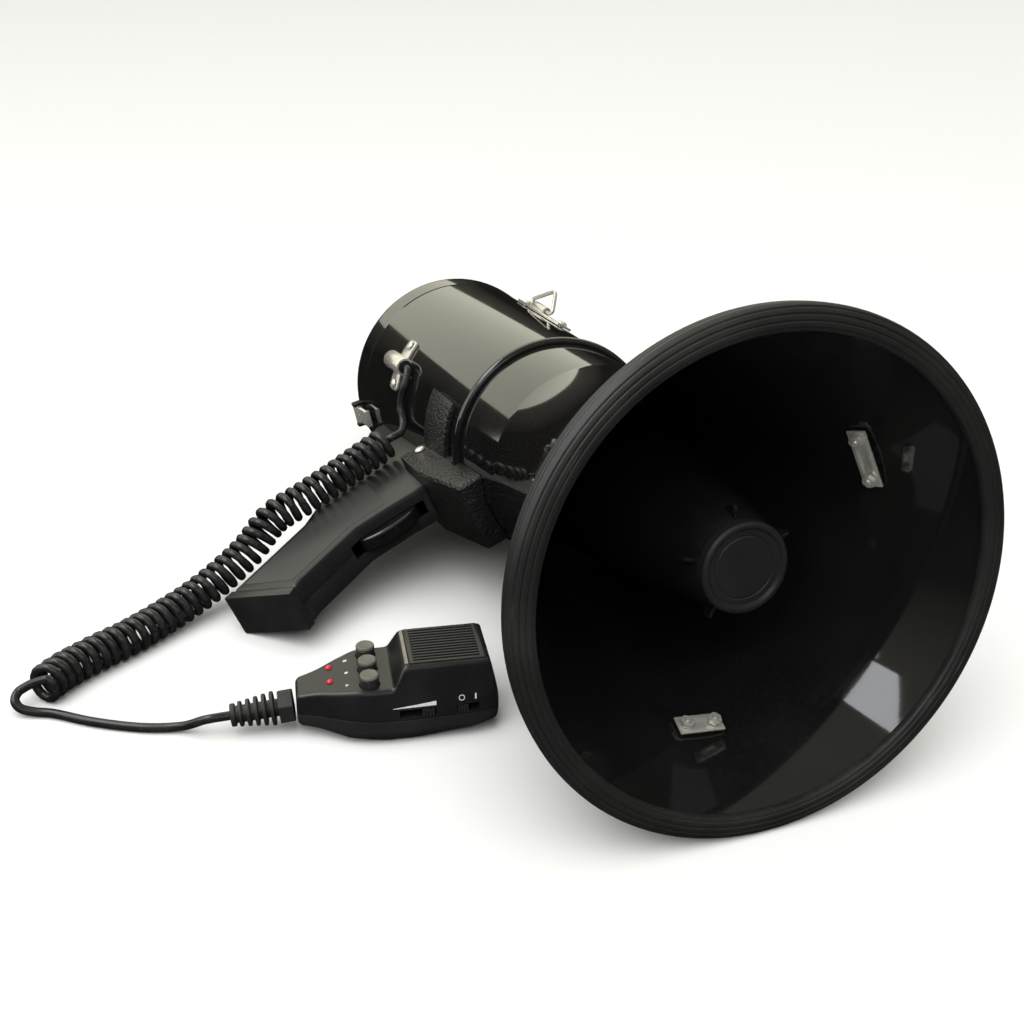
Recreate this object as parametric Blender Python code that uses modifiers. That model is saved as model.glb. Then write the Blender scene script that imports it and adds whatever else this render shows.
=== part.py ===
"""Handheld megaphone with a wired hand microphone, laid on its side on a flat surface.

Run with: blender --background --python part.py, or from Blender's text editor.
Units are metres and +Z is up. The origin is on the surface, under the middle of the set.

The megaphone is drawn in a frame of its own: +Y runs from the mouth to the rear, +Z is up in use,
-Z points down the grip and +X is the user's left. Places along +Y are called stations and are
counted from the mouth. Angles round the axis run from +Z towards the user's right. The frame is
then rolled and tilted until the rim, the rear cap and the tip of the grip touch the surface.
The microphone has a frame too: +X runs from its cable end to its head, +Z comes out of its face.
"""

import math

import bmesh
import bpy
from mathutils import Matrix, Vector

# ---- clearances and round work ----
GAP = 0.0003                   # between neighbours that touch
RUNNING_GAP = 0.0004           # between a moving piece and what guides it
BENT_GAP = 0.0006              # between a flat piece and the curved wall under it
LARGE_STEPS = 48               # facets round a large turned piece
MIDDLE_STEPS = 32              # facets round the reflector and the driver
SMALL_STEPS = 16               # facets round a small turned piece
SCREW_STEPS = 12               # facets round a screw

# ---- horn ----
RIM_RADIUS = 0.115             # outside of the rubber rim guard
RIM_WIDTH = 0.0115             # the guard's width, seen from the front
RIM_DEPTH = 0.0155             # station of the guard's rear edge
RIM_LAND = 0.005               # station of the guard's widest line and of the bell's edge
RIM_COVER = 0.0065             # rubber outside the bell's edge
BELL_LENGTH = 0.180            # from the bell's edge to the neck
NECK_RADIUS = 0.054            # neck, at the end of the flare
HORN_WALL = 0.0022
FLARE_POWER = 2.0              # how hard the bell opens
FLARE_STEPS = 6
NECK_LENGTH = 0.047            # from the flare to the middle of the black ring
RING_TUBE = 0.0028             # section radius of the black ring
RING_STEPS = 8
SPIGOT_LENGTH = 0.016          # the horn's end inside the barrel

# ---- reflector and driver inside the horn ----
CAP_STATION = 0.0235           # front of the reflector's cap
CAP_RADIUS = 0.0205
CAP_DEPTH = 0.0055
CAP_LIP = 0.0014               # height of the cap's raised edge
CAP_LIP_WIDTH = 0.0036
REFLECTOR_LENGTH = 0.136
REFLECTOR_RADIUS = 0.041       # at its open rear end
REFLECTOR_POWER = 0.8
REFLECTOR_WALL = 0.0020
REFLECTOR_STEPS = 6
RIB_COUNT = 5
RIB_REACH = 0.0065             # rib tip beyond the cap's edge
RIB_THICKNESS = 0.0016
RIB_LENGTH = 0.0100
THROAT_FRONT = 0.062
THROAT_RADIUS = 0.0100         # outside of the throat tube at its front
THROAT_REAR_RADIUS = 0.0160
THROAT_WALL = 0.0020
WEB_COUNT = 3
WEB_THICKNESS = 0.0020
WEB_LENGTH = 0.040
WEB_END_GAP = 0.0008           # between a web's edge and the curved reflector
DRIVER_AHEAD = 0.046           # driver's front, ahead of the black ring
DRIVER_RADIUS = 0.0380
DRIVER_DEPTH = 0.030
DRIVER_WALL = 0.0030
MAGNET_PLATE = 0.0080
POLE_RADIUS = 0.0200
POLE_CLEAR = 0.0085             # room for the diaphragm ahead of the pole

# ---- barrel ----
BARREL_TAPER = 0.0550          # growth of the radius per unit of length
BARREL_WALL = 0.0025
BARREL_LENGTH = 0.159          # from the middle of the black ring to the rear cap's seam
SEAM_GAP = 0.0008
REAR_CAP_LENGTH = 0.0185
REAR_CAP_ROUND = 0.0035
REAR_CAP_SWELL = 0.0003        # how far the cap's widest line stands out from the cone
REAR_CAP_WALL = 0.0028
SKIRT_LENGTH = 0.012           # rear cap's skirt inside the barrel
CELL_RADIUS = 0.0130           # size C cell
CELL_LENGTH = 0.0500
CELL_NUB_RADIUS = 0.0033
CELL_NUB = 0.0015
CELLS_IN_STACK = 2
STACK_COUNT = 4
STACK_CIRCLE = 0.0225          # centres of the stacks
CARRIER_PLATE = 0.0030
CARRIER_ROD = 0.0050
CARRIER_EDGE = 0.0006          # between the carrier's plates and the tube round them
BOARD_THICKNESS = 0.0016
BOARD_CHIPS = ((0.018, 0.012), (-0.022, 0.004), (0.004, -0.024))
CHIP_SIZE = (0.011, 0.008, 0.004)

# ---- strap and hook hardware ----
BOLT_RADIUS = 0.0016
HEAD_RADIUS = 0.0032
HEAD_HEIGHT = 0.0016
NUT_RADIUS = 0.0034
NUT_HEIGHT = 0.0024
THREAD_END = 0.0010            # thread beyond the nut
SHEET = 0.0014                 # thickness of the nickel-plated strips
STRIP_WIDTH = 0.0095
STRAP_STATION = 0.0505         # front strap strip on the bell
STRAP_ANGLE = 0.0
STRAP_PITCH = 0.0208           # between its bolts
STRAP_LENGTH = 0.0296
HOOK_STATION = 0.0475          # microphone hook on the bell
HOOK_ANGLE = -119.0
HOOK_PITCH = 0.0140
HOOK_LENGTH = 0.0225
HOOK_ARM = 0.0100              # width of the hook's arm
HOOK_SPACE = 0.0064            # free height under the arm
HOOK_REACH = 0.0150
WIRE_RADIUS = 0.0012           # strap loops
TUNNEL_WALL = 0.0011           # rolled strip round a strap loop
FRONT_TUNNEL = 0.0120
FRONT_LOOP_HALF = 0.0140
FRONT_LOOP_REACH = 0.0180
FRONT_LOOP_LEAN = 35.0         # degrees towards the rear
REAR_STRAP_STATION = 0.327
REAR_STRAP_ANGLE = 35.0
REAR_STRAP_PITCH = 0.060
REAR_STRAP_LENGTH = 0.070
REAR_TUNNEL = 0.020
REAR_TUNNEL_SHIFT = 0.008      # tunnel's middle behind the strip's middle
REAR_LOOP_HALF = 0.0172
REAR_LOOP_REACH = 0.0130
REAR_LOOP_APEX = 0.0060        # apex ahead of the loop's middle

# ---- cable clamp ----
CLAMP_STATION = 0.337
CLAMP_ANGLE = 129.0
CLAMP_PITCH = 0.0245           # between its screws
CLAMP_LENGTH = 0.0320
CLAMP_WIDTH = 0.0120
ARCH_LENGTH = 0.0240
ARCH_BORE = 0.0042
ARCH_WALL = 0.0013
ARCH_HEIGHT = 0.0029           # arch's centre above the barrel
GLAND_SET_BACK = 0.0015        # gland's front face inside the arch
CORD_RADIUS = 0.0023

# ---- rear cap's catch ----
CATCH_ANGLE = 169.0
CATCH_AHEAD = 0.0090           # hinge ahead of the rear cap's end
CATCH_WIDTH = 0.0110
CATCH_REACH = 0.0180           # from the hinge to the tip over the barrel
CATCH_THICKNESS = 0.0024
CATCH_HUB = 0.0030
CATCH_PIN = 0.0012
CATCH_RISE = 0.0036            # hinge above the cap
CATCH_EAR = 0.0020

# ---- grip; drops are counted down from the barrel's underside at the bracket's rear end ----
BRACKET_FRONT = 0.200
BRACKET_REAR = 0.2815
BRACKET_HALF = 0.0200
BRACKET_DROP = 0.0147
BRACKET_NOSE_DROP = 0.0060
SADDLE_FRONT = 0.2450
SADDLE_REAR = 0.2760
SADDLE_THICKNESS = 0.0030
SADDLE_ANGLE = 48.0            # half of the saddle's wrap, in degrees
BRACKET_SCREW_STATION = 0.2740
BRACKET_SCREW_DROP = 0.0035
BRACKET_SCREW_DEPTH = 0.0080
GRIP_HALF = 0.0120             # half of the grip's thickness
GRIP_WALL = 0.0028
GRIP_ROUND = 0.0026
TANG_REAR = 0.3660
TIP_CAP = 0.0060               # thickness of the cap on the grip's tip
# Corners of the grip's side view as (station, drop), from the tang to the tip and back up.
GRIP_REAR_EDGE = ((0.3660, 0.0085), (0.3450, 0.0325), (0.3180, 0.0530), (0.2840, 0.0810))
GRIP_TIP_REAR = (0.2480, 0.1387)
GRIP_TIP_FRONT = (0.2100, 0.1077)
GRIP_FRONT_EDGE = ((0.2200, 0.0990), (0.2430, 0.0590), (0.2460, 0.0330))
TRIGGER_STATION = 0.2590
TRIGGER_DROP = 0.0267
TRIGGER_HALF = 0.0040
TRIGGER_ROUND = 0.0012
PIN_RADIUS = 0.0019
PIN_WALL = 0.0006              # shell left beyond the pin's ends
# Corners of the trigger's side view, counted from its pin.
TRIGGER_EDGE = ((-0.0030, -0.0048), (0.0028, -0.0046), (0.0053, 0.0), (0.0030, 0.0046),
                (-0.0040, 0.0072), (-0.0080, 0.0140), (-0.0100, 0.0240), (-0.0115, 0.0330),
                (-0.0160, 0.0345), (-0.0195, 0.0310), (-0.0214, 0.0220), (-0.0212, 0.0120),
                (-0.0185, 0.0028), (-0.0120, -0.0035))
SLOT_ABOVE = 0.0080            # trigger slot beyond the pin's height
SLOT_BELOW = 0.0400
SWITCH_BEHIND = 0.0060         # switch body behind the pin
SWITCH_SIZE = (0.0140, 0.0100)
SWITCH_BELOW = 0.0100
PLUNGER = 0.0045
PLUNGER_HALF = 0.0020

# ---- microphone ----
MIC_LENGTH = 0.0960
MIC_SPLIT = 0.0140             # height of the joint of its shells
MIC_FACE = 0.0300              # height of the button panel
MIC_TOP = 0.0405               # height of the grille block
MIC_WALL = 0.0022
MIC_SHOULDER = 0.0215          # height where the sides start to close in
MIC_TOP_NARROW = 0.0052        # what the grille block loses in half width
# Half widths along the microphone, as (part of its length, half width).
MIC_PLAN = ((0.0, 0.0092), (0.10, 0.0118), (0.21, 0.0170), (0.33, 0.0212), (0.47, 0.0225),
            (0.68, 0.0222), (0.88, 0.0212), (0.97, 0.0190), (1.0, 0.0155))
MIC_PLAN_STEP = 0.0065
MIC_REAR_FACE = 0.0240         # height of the top at the cable end
MIC_REAR_FLOOR = 0.0075        # height of the underside at the cable end
MIC_HEAD_FACE = 0.0200
MIC_HEAD_FLOOR = 0.0075
PANEL_START = 0.30             # parts of the length
BLOCK_FOOT = 0.475
BLOCK_START = 0.535
BLOCK_END = 0.955
BELLY_START = 0.40
BELLY_END = 0.60
GRILLE_MARGIN = 0.0020
GRILLE_HALF = 0.0160
GRILLE_DEPTH = 0.0034
GRILLE_PROUD = 0.0006
GRILLE_SLOTS = 12
GRILLE_SLOT = 0.0012
GRILLE_SLOT_DEPTH = 0.0018
CAPSULE_RADIUS = 0.0080
CAPSULE_DEPTH = 0.0070
BUTTON_PLACE = 0.362
BUTTON_PITCH = 0.0132
BUTTON_RADIUS = 0.0045
BUTTON_PROUD = 0.0060
BUTTON_STEM = 0.0075
BUTTON_COUNT = 3
LED_PLACE = 0.172
LED_ACROSS = (0.0085, -0.0040)
LED_RADIUS = 0.0017
LED_PROUD = 0.0014
LED_STEM = 0.0060
VOLUME_PLACE = 0.585
VOLUME_SLOT = 0.0170
VOLUME_KNOB = 0.0060
POWER_PLACE = 0.835
POWER_SLOT = 0.0110
POWER_KNOB = 0.0055
SLOT_HEIGHT = 0.0042
SLIDER_HEIGHT = 0.0175
SLIDER_PROUD = 0.0012
SLIDER_DEPTH = 0.0070
TALK_PLACE = 0.600
TALK_LENGTH = 0.0340
TALK_HEIGHT = 0.0068
TALK_PROUD = 0.0022
TALK_DEPTH = 0.0080
HANG_PLACE = 0.78
HANG_HEAD_RADIUS = 0.0050
HANG_STEM_RADIUS = 0.0026
HANG_HEAD = 0.0012
HANG_CLEAR = 0.0004            # hang button's head above the surface
HANG_STEM_END = 0.0070
RELIEF_LENGTH = 0.0300
RELIEF_NUT_LENGTH = 0.0070
RELIEF_NUT_RADIUS = 0.0088
RELIEF_CORE_RADIUS = 0.0042
RELIEF_RING_RADIUS = 0.0082    # largest ring, next to the nut
RELIEF_TIP_RADIUS = 0.0056
RELIEF_RINGS = 5
RELIEF_HEIGHT = 0.0142
RELIEF_DROOP = 5.0             # degrees
RELIEF_START = 0.0013          # nut's face off the microphone
MIC_PLACE = (-0.1720, 0.1375)  # cable end of the microphone, from under the mouth's middle
MIC_TURN = -11.0               # degrees about the vertical

# ---- curly cord: a soft piece, drawn where it lies ----
COIL_RADIUS = 0.0102           # outside of the coil
COIL_GAP = 0.0008              # between the coil and the grip's side
FLOOR_GAP = 0.0003             # between the cord and the surface
CORD_SPACING = 0.0050
CORD_END = 0.0006              # between the ends of cord, coil, gland and relief
# The lead follows the barrel, as (angle, station).
LEAD_ROUND_BARREL = ((131.0, 0.3190), (137.5, 0.3170), (144.5, 0.3180), (151.0, 0.3165),
                     (157.0, 0.3120))
# The coil leans on the grip's side, as (station, drop), and then lies down on the surface.
COIL_ON_GRIP = ((0.3034, 0.0104), (0.3006, 0.0268), (0.2941, 0.0511), (0.2900, 0.0739),
                (0.2868, 0.0941))
COIL_ON_FLOOR = ((-0.1671, 0.2732, 0.0308), (-0.1850, 0.2655, 0.0212), (-0.2036, 0.2570, 0.0145),
                 (-0.2237, 0.2460, 0.0112), (-0.2403, 0.2353, 0.0105), (-0.2565, 0.2262, 0.0105),
                 (-0.2735, 0.2150, 0.0105), (-0.2868, 0.2020, 0.0105))
COIL_WINDING = 0.0078          # from the coil's middle to the middle of the cord in it
TAIL_TURN = ((-0.2966, 0.2034, 0.0098), (-0.2985, 0.1996, 0.0078), (-0.2965, 0.1962, 0.0050),
             (-0.2908, 0.1938, 0.0032), (-0.2810, 0.1890, 0.0026), (-0.2640, 0.1750, 0.0026),
             (-0.2430, 0.1620, 0.0026), (-0.2250, 0.1540, 0.0040))

# ---- the middle of the set, from under the mouth's middle ----
SET_MIDDLE = (-0.0445, 0.2005)

NECK_STATION = RIM_LAND + BELL_LENGTH
RING_STATION = NECK_STATION + NECK_LENGTH
BARREL_FRONT = RING_STATION + RING_TUBE + GAP
SEAM_STATION = RING_STATION + BARREL_LENGTH
CAP_END = SEAM_STATION + REAR_CAP_LENGTH
CAP_WIDEST = CAP_END - REAR_CAP_ROUND
DRIVER_FRONT = RING_STATION - DRIVER_AHEAD
CARRIER_REAR = SEAM_STATION - SKIRT_LENGTH - CARRIER_PLATE

SIDE_VIEW = Matrix(((0.0, 0.0, -1.0, 0.0), (1.0, 0.0, 0.0, 0.0), (0.0, -1.0, 0.0, 0.0), (0.0, 0.0, 0.0, 1.0)))
ALONG_AXIS = Matrix.Rotation(math.radians(-90.0), 4, "X")
TO_THE_LEFT = Matrix.Rotation(math.radians(90.0), 4, "Y")
TO_THE_REAR = Matrix.Rotation(math.radians(-90.0), 4, "X")
CROSS_VIEW = Matrix(((0.0, 0.0, 1.0, 0.0), (1.0, 0.0, 0.0, 0.0), (0.0, 1.0, 0.0, 0.0), (0.0, 0.0, 0.0, 1.0)))
MIC_SIDE_VIEW = Matrix.Rotation(math.radians(90.0), 4, "X")

FINISHES = {
    "gloss_black": ((0.012, 0.012, 0.013), 0.10, 0.0),
    "satin_black": ((0.020, 0.020, 0.021), 0.45, 0.0),
    "crinkle_black": ((0.016, 0.016, 0.016), 0.60, 0.0),
    "rubber_black": ((0.022, 0.022, 0.022), 0.55, 0.0),
    "cord_black": ((0.012, 0.012, 0.012), 0.28, 0.0),
    "mic_black": ((0.028, 0.028, 0.030), 0.42, 0.0),
    "button_grey": ((0.230, 0.220, 0.190), 0.50, 0.0),
    "lamp_red": ((0.550, 0.020, 0.030), 0.20, 0.0),
    "nickel": ((0.680, 0.660, 0.620), 0.22, 1.0),
    "steel": ((0.450, 0.450, 0.460), 0.35, 1.0),
    "ferrite": ((0.060, 0.058, 0.056), 0.70, 0.3),
    "board_green": ((0.030, 0.160, 0.070), 0.50, 0.0),
    "cell_label": ((0.110, 0.230, 0.420), 0.40, 0.2),
    "carrier_grey": ((0.180, 0.180, 0.185), 0.55, 0.0),
}


# ======================================================================================
# Modelling helpers
# ======================================================================================

def clear_scene():
    for old in list(bpy.data.objects):
        bpy.data.objects.remove(old, do_unlink=True)


def make_collection(name):
    group = bpy.data.collections.new(name)
    bpy.context.scene.collection.children.link(group)
    return group


def finish(name):
    """The named finish as a Principled material, made once."""
    if name in bpy.data.materials:
        return bpy.data.materials[name]
    colour, roughness, metallic = FINISHES[name]
    material = bpy.data.materials.new(name)
    material.use_nodes = True
    shader = material.node_tree.nodes["Principled BSDF"]
    shader.inputs["Base Color"].default_value = (*colour, 1.0)
    shader.inputs["Roughness"].default_value = roughness
    shader.inputs["Metallic"].default_value = metallic
    return material


def frame(name, parent, matrix):
    """An empty that other pieces hang on."""
    empty = bpy.data.objects.new(name, None)
    PARTS.objects.link(empty)
    empty.parent = parent
    empty.matrix_local = matrix
    return empty


def add(name, mesh, look, parent, matrix=None):
    """The mesh as the object `name`. With no finish it is a cutter."""
    obj = bpy.data.objects.new(name, mesh)
    obj.parent = parent
    obj.matrix_local = matrix or Matrix()
    if look:
        PARTS.objects.link(obj)
        mesh.materials.append(finish(look))
    else:
        CUTTERS.objects.link(obj)
        obj.hide_render = True
        obj.display_type = "WIRE"
    return obj


def shade(mesh):
    mesh.shade_smooth()
    mesh.set_sharp_from_angle(angle=math.radians(35.0))


def turned(name, section, look, parent, matrix=ALONG_AXIS, steps=LARGE_STEPS):
    """A turned piece from (radius, height) pairs that run down its outer side.

    A section that starts on the axis must end there. Any other is closed into a ring.
    """
    points = [(radius, 0.0, height) for radius, height in section]
    edges = [(i, i + 1) for i in range(len(points) - 1) if section[i][0] > 0.0 or section[i + 1][0] > 0.0]
    if section[0][0] > 0.0:
        edges.append((len(points) - 1, 0))
    mesh = bpy.data.meshes.new(name)
    mesh.from_pydata(points, edges, [])
    obj = add(name, mesh, look, parent, matrix)
    screw = obj.modifiers.new("turn", "SCREW")
    screw.steps = steps
    screw.render_steps = steps
    screw.use_merge_vertices = True
    screw.merge_threshold = 0.00001
    screw.use_smooth_shade = True
    return obj


def section_of(outer, inner=()):
    """A section for `turned` from (station, radius) lists, both given from front to rear."""
    return [(r, s) for s, r in reversed(outer)] + [(r, s) for s, r in inner]


def soften(obj, width, segments=2):
    bevel = obj.modifiers.new("soften", "BEVEL")
    bevel.width = width
    bevel.segments = segments
    bevel.limit_method = "ANGLE"
    bevel.angle_limit = math.radians(40.0)


def box(name, low, high, look, parent, matrix=None, round_edge=0.0):
    """A block between two corners, with rounded edges."""
    bm = bmesh.new()
    bmesh.ops.create_cube(bm, size=1.0)
    bmesh.ops.scale(bm, vec=Vector(high) - Vector(low), verts=bm.verts)
    bmesh.ops.translate(bm, vec=(Vector(high) + Vector(low)) / 2, verts=bm.verts)
    mesh = bpy.data.meshes.new(name)
    bm.to_mesh(mesh)
    bm.free()
    obj = add(name, mesh, look, parent, matrix)
    if round_edge > 0.0:
        soften(obj, round_edge)
    return obj


def rod(name, radius, low, high, look, parent, matrix=None, steps=SMALL_STEPS):
    """A round rod along Z between two heights."""
    bm = bmesh.new()
    bmesh.ops.create_cone(bm, cap_ends=True, segments=steps, radius1=radius, radius2=radius, depth=high - low)
    bmesh.ops.translate(bm, vec=(0.0, 0.0, (high + low) / 2), verts=bm.verts)
    mesh = bpy.data.meshes.new(name)
    bm.to_mesh(mesh)
    bm.free()
    shade(mesh)
    return add(name, mesh, look, parent, matrix)


def from_curve(name, curve, look, parent, matrix=None):
    """A curve made into a mesh whose caps are joined to its sides."""
    holder = bpy.data.objects.new(name, curve)
    bpy.context.scene.collection.objects.link(holder)
    graph = bpy.context.evaluated_depsgraph_get()
    mesh = bpy.data.meshes.new_from_object(holder.evaluated_get(graph))
    bpy.data.objects.remove(holder, do_unlink=True)
    bm = bmesh.new()
    bm.from_mesh(mesh)
    bmesh.ops.remove_doubles(bm, verts=bm.verts, dist=0.000001)
    bmesh.ops.recalc_face_normals(bm, faces=bm.faces)
    bm.to_mesh(mesh)
    bm.free()
    mesh.materials.clear()
    shade(mesh)
    return add(name, mesh, look, parent, matrix)


def slab(name, outline, thickness, look, parent, matrix=None):
    """A flat outline in XY, thickened evenly to both sides of it."""
    curve = bpy.data.curves.new(name, "CURVE")
    curve.dimensions = "2D"
    curve.fill_mode = "BOTH"
    curve.extrude = thickness / 2
    spline = curve.splines.new("POLY")
    spline.points.add(len(outline) - 1)
    for point, (x, y) in zip(spline.points, outline):
        point.co = (x, y, 0.0, 1.0)
    spline.use_cyclic_u = True
    return from_curve(name, curve, look, parent, matrix)


def wire(name, points, radius, look, parent, matrix=None, cyclic=False, resolution=2):
    """A round wire through the points."""
    curve = bpy.data.curves.new(name, "CURVE")
    curve.dimensions = "3D"
    curve.bevel_depth = radius
    curve.bevel_resolution = resolution
    curve.use_fill_caps = not cyclic
    spline = curve.splines.new("POLY")
    spline.points.add(len(points) - 1)
    for point, place in zip(spline.points, points):
        point.co = (*place, 1.0)
    spline.use_cyclic_u = cyclic
    return from_curve(name, curve, look, parent, matrix)


def combine(obj, other, operation):
    step = obj.modifiers.new(operation.lower(), "BOOLEAN")
    step.operation = operation
    step.solver = "EXACT"
    step.object = other


def cut(obj, *cutters):
    for cutter in cutters:
        combine(obj, cutter, "DIFFERENCE")


def join(obj, *others):
    for other in others:
        combine(obj, other, "UNION")


def keep(obj, *others):
    """Keep only what the object shares with each of the others."""
    for other in others:
        combine(obj, other, "INTERSECT")


def smooth_path(route, spacing):
    """Points about `spacing` apart on a smooth curve through the route's points."""
    places = [Vector(point) for point in route]
    ends = [2 * places[0] - places[1], *places, 2 * places[-1] - places[-2]]
    path = [places[0]]
    for a, b, c, d in zip(ends, ends[1:], ends[2:], ends[3:]):
        count = max(1, round((c - b).length / spacing))
        for step in range(1, count + 1):
            t = step / count
            bend = (2 * a - 5 * b + 4 * c - d) * t ** 2 + (3 * b - a - 3 * c + d) * t ** 3
            path.append(0.5 * (2 * b + (c - a) * t + bend))
    return path


def inset(outline, distance):
    """The outline moved inwards by `distance` with mitred corners."""
    points = [Vector(point) for point in outline]
    count = len(points)
    area = sum(points[i - 1].x * points[i].y - points[i].x * points[i - 1].y for i in range(count))
    turn = 1.0 if area > 0 else -1.0
    moved = []
    for i, here in enumerate(points):
        before = (here - points[i - 1]).normalized()
        after = (points[(i + 1) % count] - here).normalized()
        side_before = Vector((-before.y, before.x)) * turn
        side_after = Vector((-after.y, after.x)) * turn
        mitre = (side_before + side_after).normalized()
        moved.append(here + mitre * distance / max(0.35, mitre.dot(side_after)))
    return [(point.x, point.y) for point in moved]


def toward(start, end, distance):
    """The point at `distance` from `start` on the way to `end`."""
    a, b = Vector(start), Vector(end)
    return tuple(a + (b - a).normalized() * distance)


# ======================================================================================
# Surfaces and stances
# ======================================================================================

def barrel_radius(station):
    """Outside radius of the neck and the barrel."""
    return NECK_RADIUS + BARREL_TAPER * (station - NECK_STATION)


def bell_radius(station):
    """Outside radius of the flare, from the rim to the neck."""
    run = (station - RIM_LAND) / BELL_LENGTH
    mouth = RIM_RADIUS - RIM_COVER
    return NECK_RADIUS + (mouth - NECK_RADIUS) * (1.0 - run) ** FLARE_POWER


def spigot_radius():
    """Outside of the horn's end that enters the barrel."""
    return barrel_radius(BARREL_FRONT) - BARREL_WALL - GAP


def ring_radius():
    """Middle of the black ring's section."""
    return spigot_radius() + GAP + RING_TUBE


def cap_radius(station):
    """Outside radius of the rear cap."""
    return barrel_radius(station) + REAR_CAP_SWELL


def grip_datum():
    return barrel_radius(BRACKET_REAR)


def down(points):
    """(station, drop) pairs as (station, distance below the axis)."""
    return [(station, grip_datum() + drop) for station, drop in points]


def wall_frame(radius_at, station, angle):
    """A frame on a turned surface: +Z out of it, +Y along it to the rear, +X round it."""
    small = 0.001
    slope = (radius_at(station + small) - radius_at(station - small)) / (2 * small)
    turn = math.radians(angle)
    out = Vector((-math.sin(turn), 0.0, math.cos(turn)))
    rear = Vector((0.0, 1.0, 0.0))
    normal = (out - slope * rear).normalized()
    along = (rear + slope * out).normalized()
    matrix = Matrix((along.cross(normal), along, normal)).transposed().to_4x4()
    matrix.translation = out * radius_at(station) + rear * station
    return matrix


def moved(x=0.0, y=0.0, z=0.0):
    return Matrix.Translation((x, y, z))


def bend_of(radius, half_length):
    """How far a wall of this radius falls away at `half_length` from where a flat strip touches it."""
    return radius - math.sqrt(radius ** 2 - half_length ** 2)


def megaphone_stance():
    """The megaphone's frame when the rim, the rear cap and the grip's tip touch the surface."""
    cap_edge = cap_radius(CAP_WIDEST)
    tilt = math.atan2(RIM_RADIUS - cap_edge, CAP_WIDEST - RIM_LAND)
    height = RIM_LAND * math.sin(tilt) + RIM_RADIUS * math.cos(tilt)
    tip_station, tip_down = down([GRIP_TIP_REAR])[0]
    reach = (height - tip_station * math.sin(tilt)) / math.cos(tilt)
    roll = math.acos(reach / math.hypot(tip_down, GRIP_HALF)) + math.atan2(GRIP_HALF, tip_down)
    lean = Matrix.Rotation(-tilt, 4, "X") @ Matrix.Rotation(roll, 4, "Y")
    return moved(z=height) @ lean


def mic_stance():
    return moved(*MIC_PLACE) @ Matrix.Rotation(math.radians(MIC_TURN), 4, "Z")


# ======================================================================================
# Horn
# ======================================================================================

def flare_stations():
    step = (NECK_STATION - RIM_DEPTH) / FLARE_STEPS
    return [RIM_LAND] + [RIM_DEPTH + step * i for i in range(FLARE_STEPS + 1)]


def make_bell(parent):
    shoulder = RING_STATION - RING_TUBE - GAP
    end = BARREL_FRONT + SPIGOT_LENGTH
    outer = [(s, bell_radius(s)) for s in flare_stations()]
    outer += [(shoulder, barrel_radius(shoulder)), (shoulder, spigot_radius()), (end, spigot_radius())]
    inner = [(s, bell_radius(s) - HORN_WALL) for s in flare_stations()]
    inner.append((end, spigot_radius() - HORN_WALL))
    return turned("horn_bell", section_of(outer, inner), "gloss_black", parent)


def make_rim_guard(parent):
    """A moulded rubber channel over the edge of the bell."""
    face = RIM_RADIUS - RIM_WIDTH
    step = RIM_WIDTH / 6
    outer = [
        (0.0010, face + 0.3 * step),
        (0.0, face + 1.5 * step),
        (0.0, face + 3.0 * step),
        (0.0010, face + 4.8 * step),
        (0.0028, RIM_RADIUS - 0.25 * step),
        (RIM_LAND, RIM_RADIUS),
        (RIM_DEPTH - 0.0030, RIM_RADIUS - 0.6 * step),
        (RIM_DEPTH, RIM_RADIUS - 2.2 * step),
    ]
    inner = [
        (0.0025, face),
        (RIM_LAND - GAP, face + 0.2 * step),
        (RIM_LAND - GAP, bell_radius(RIM_LAND) + RUNNING_GAP),
        (RIM_DEPTH, bell_radius(RIM_DEPTH) + RUNNING_GAP),
    ]
    return turned("rim_guard", section_of(outer, inner), "rubber_black", parent)


def make_ring(parent):
    turns = [math.tau * i / RING_STEPS for i in range(RING_STEPS)]
    section = [(ring_radius() + RING_TUBE * math.sin(t), RING_STATION + RING_TUBE * math.cos(t)) for t in turns]
    return turned("neck_ring", section, "gloss_black", parent)


def reflector_front():
    return CAP_STATION + CAP_DEPTH + GAP


def reflector_radius(station):
    """Outside radius of the reflector cup."""
    run = (station - reflector_front()) / REFLECTOR_LENGTH
    return CAP_RADIUS + (REFLECTOR_RADIUS - CAP_RADIUS) * max(0.0, run) ** REFLECTOR_POWER


def make_reflector(parent):
    front = reflector_front()
    nose = front + REFLECTOR_WALL
    stations = [front + REFLECTOR_LENGTH * i / REFLECTOR_STEPS for i in range(REFLECTOR_STEPS + 1)]
    outer = [(front, 0.0)] + [(s, reflector_radius(s)) for s in stations]
    inner = [(nose, 0.0)] + [(max(s, nose), reflector_radius(s) - REFLECTOR_WALL) for s in stations]
    cup = turned("reflector_cup", section_of(outer, inner), "gloss_black", parent, steps=MIDDLE_STEPS)
    for i in range(RIB_COUNT):
        spoke = Matrix.Rotation(math.tau * i / RIB_COUNT, 4, "Y")
        low = (-RIB_THICKNESS / 2, front + GAP, CAP_RADIUS - REFLECTOR_WALL / 2)
        high = (RIB_THICKNESS / 2, front + RIB_LENGTH, CAP_RADIUS + RIB_REACH)
        join(cup, box(f"rib_form_{i}", low, high, None, parent, spoke))
    return cup


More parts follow.
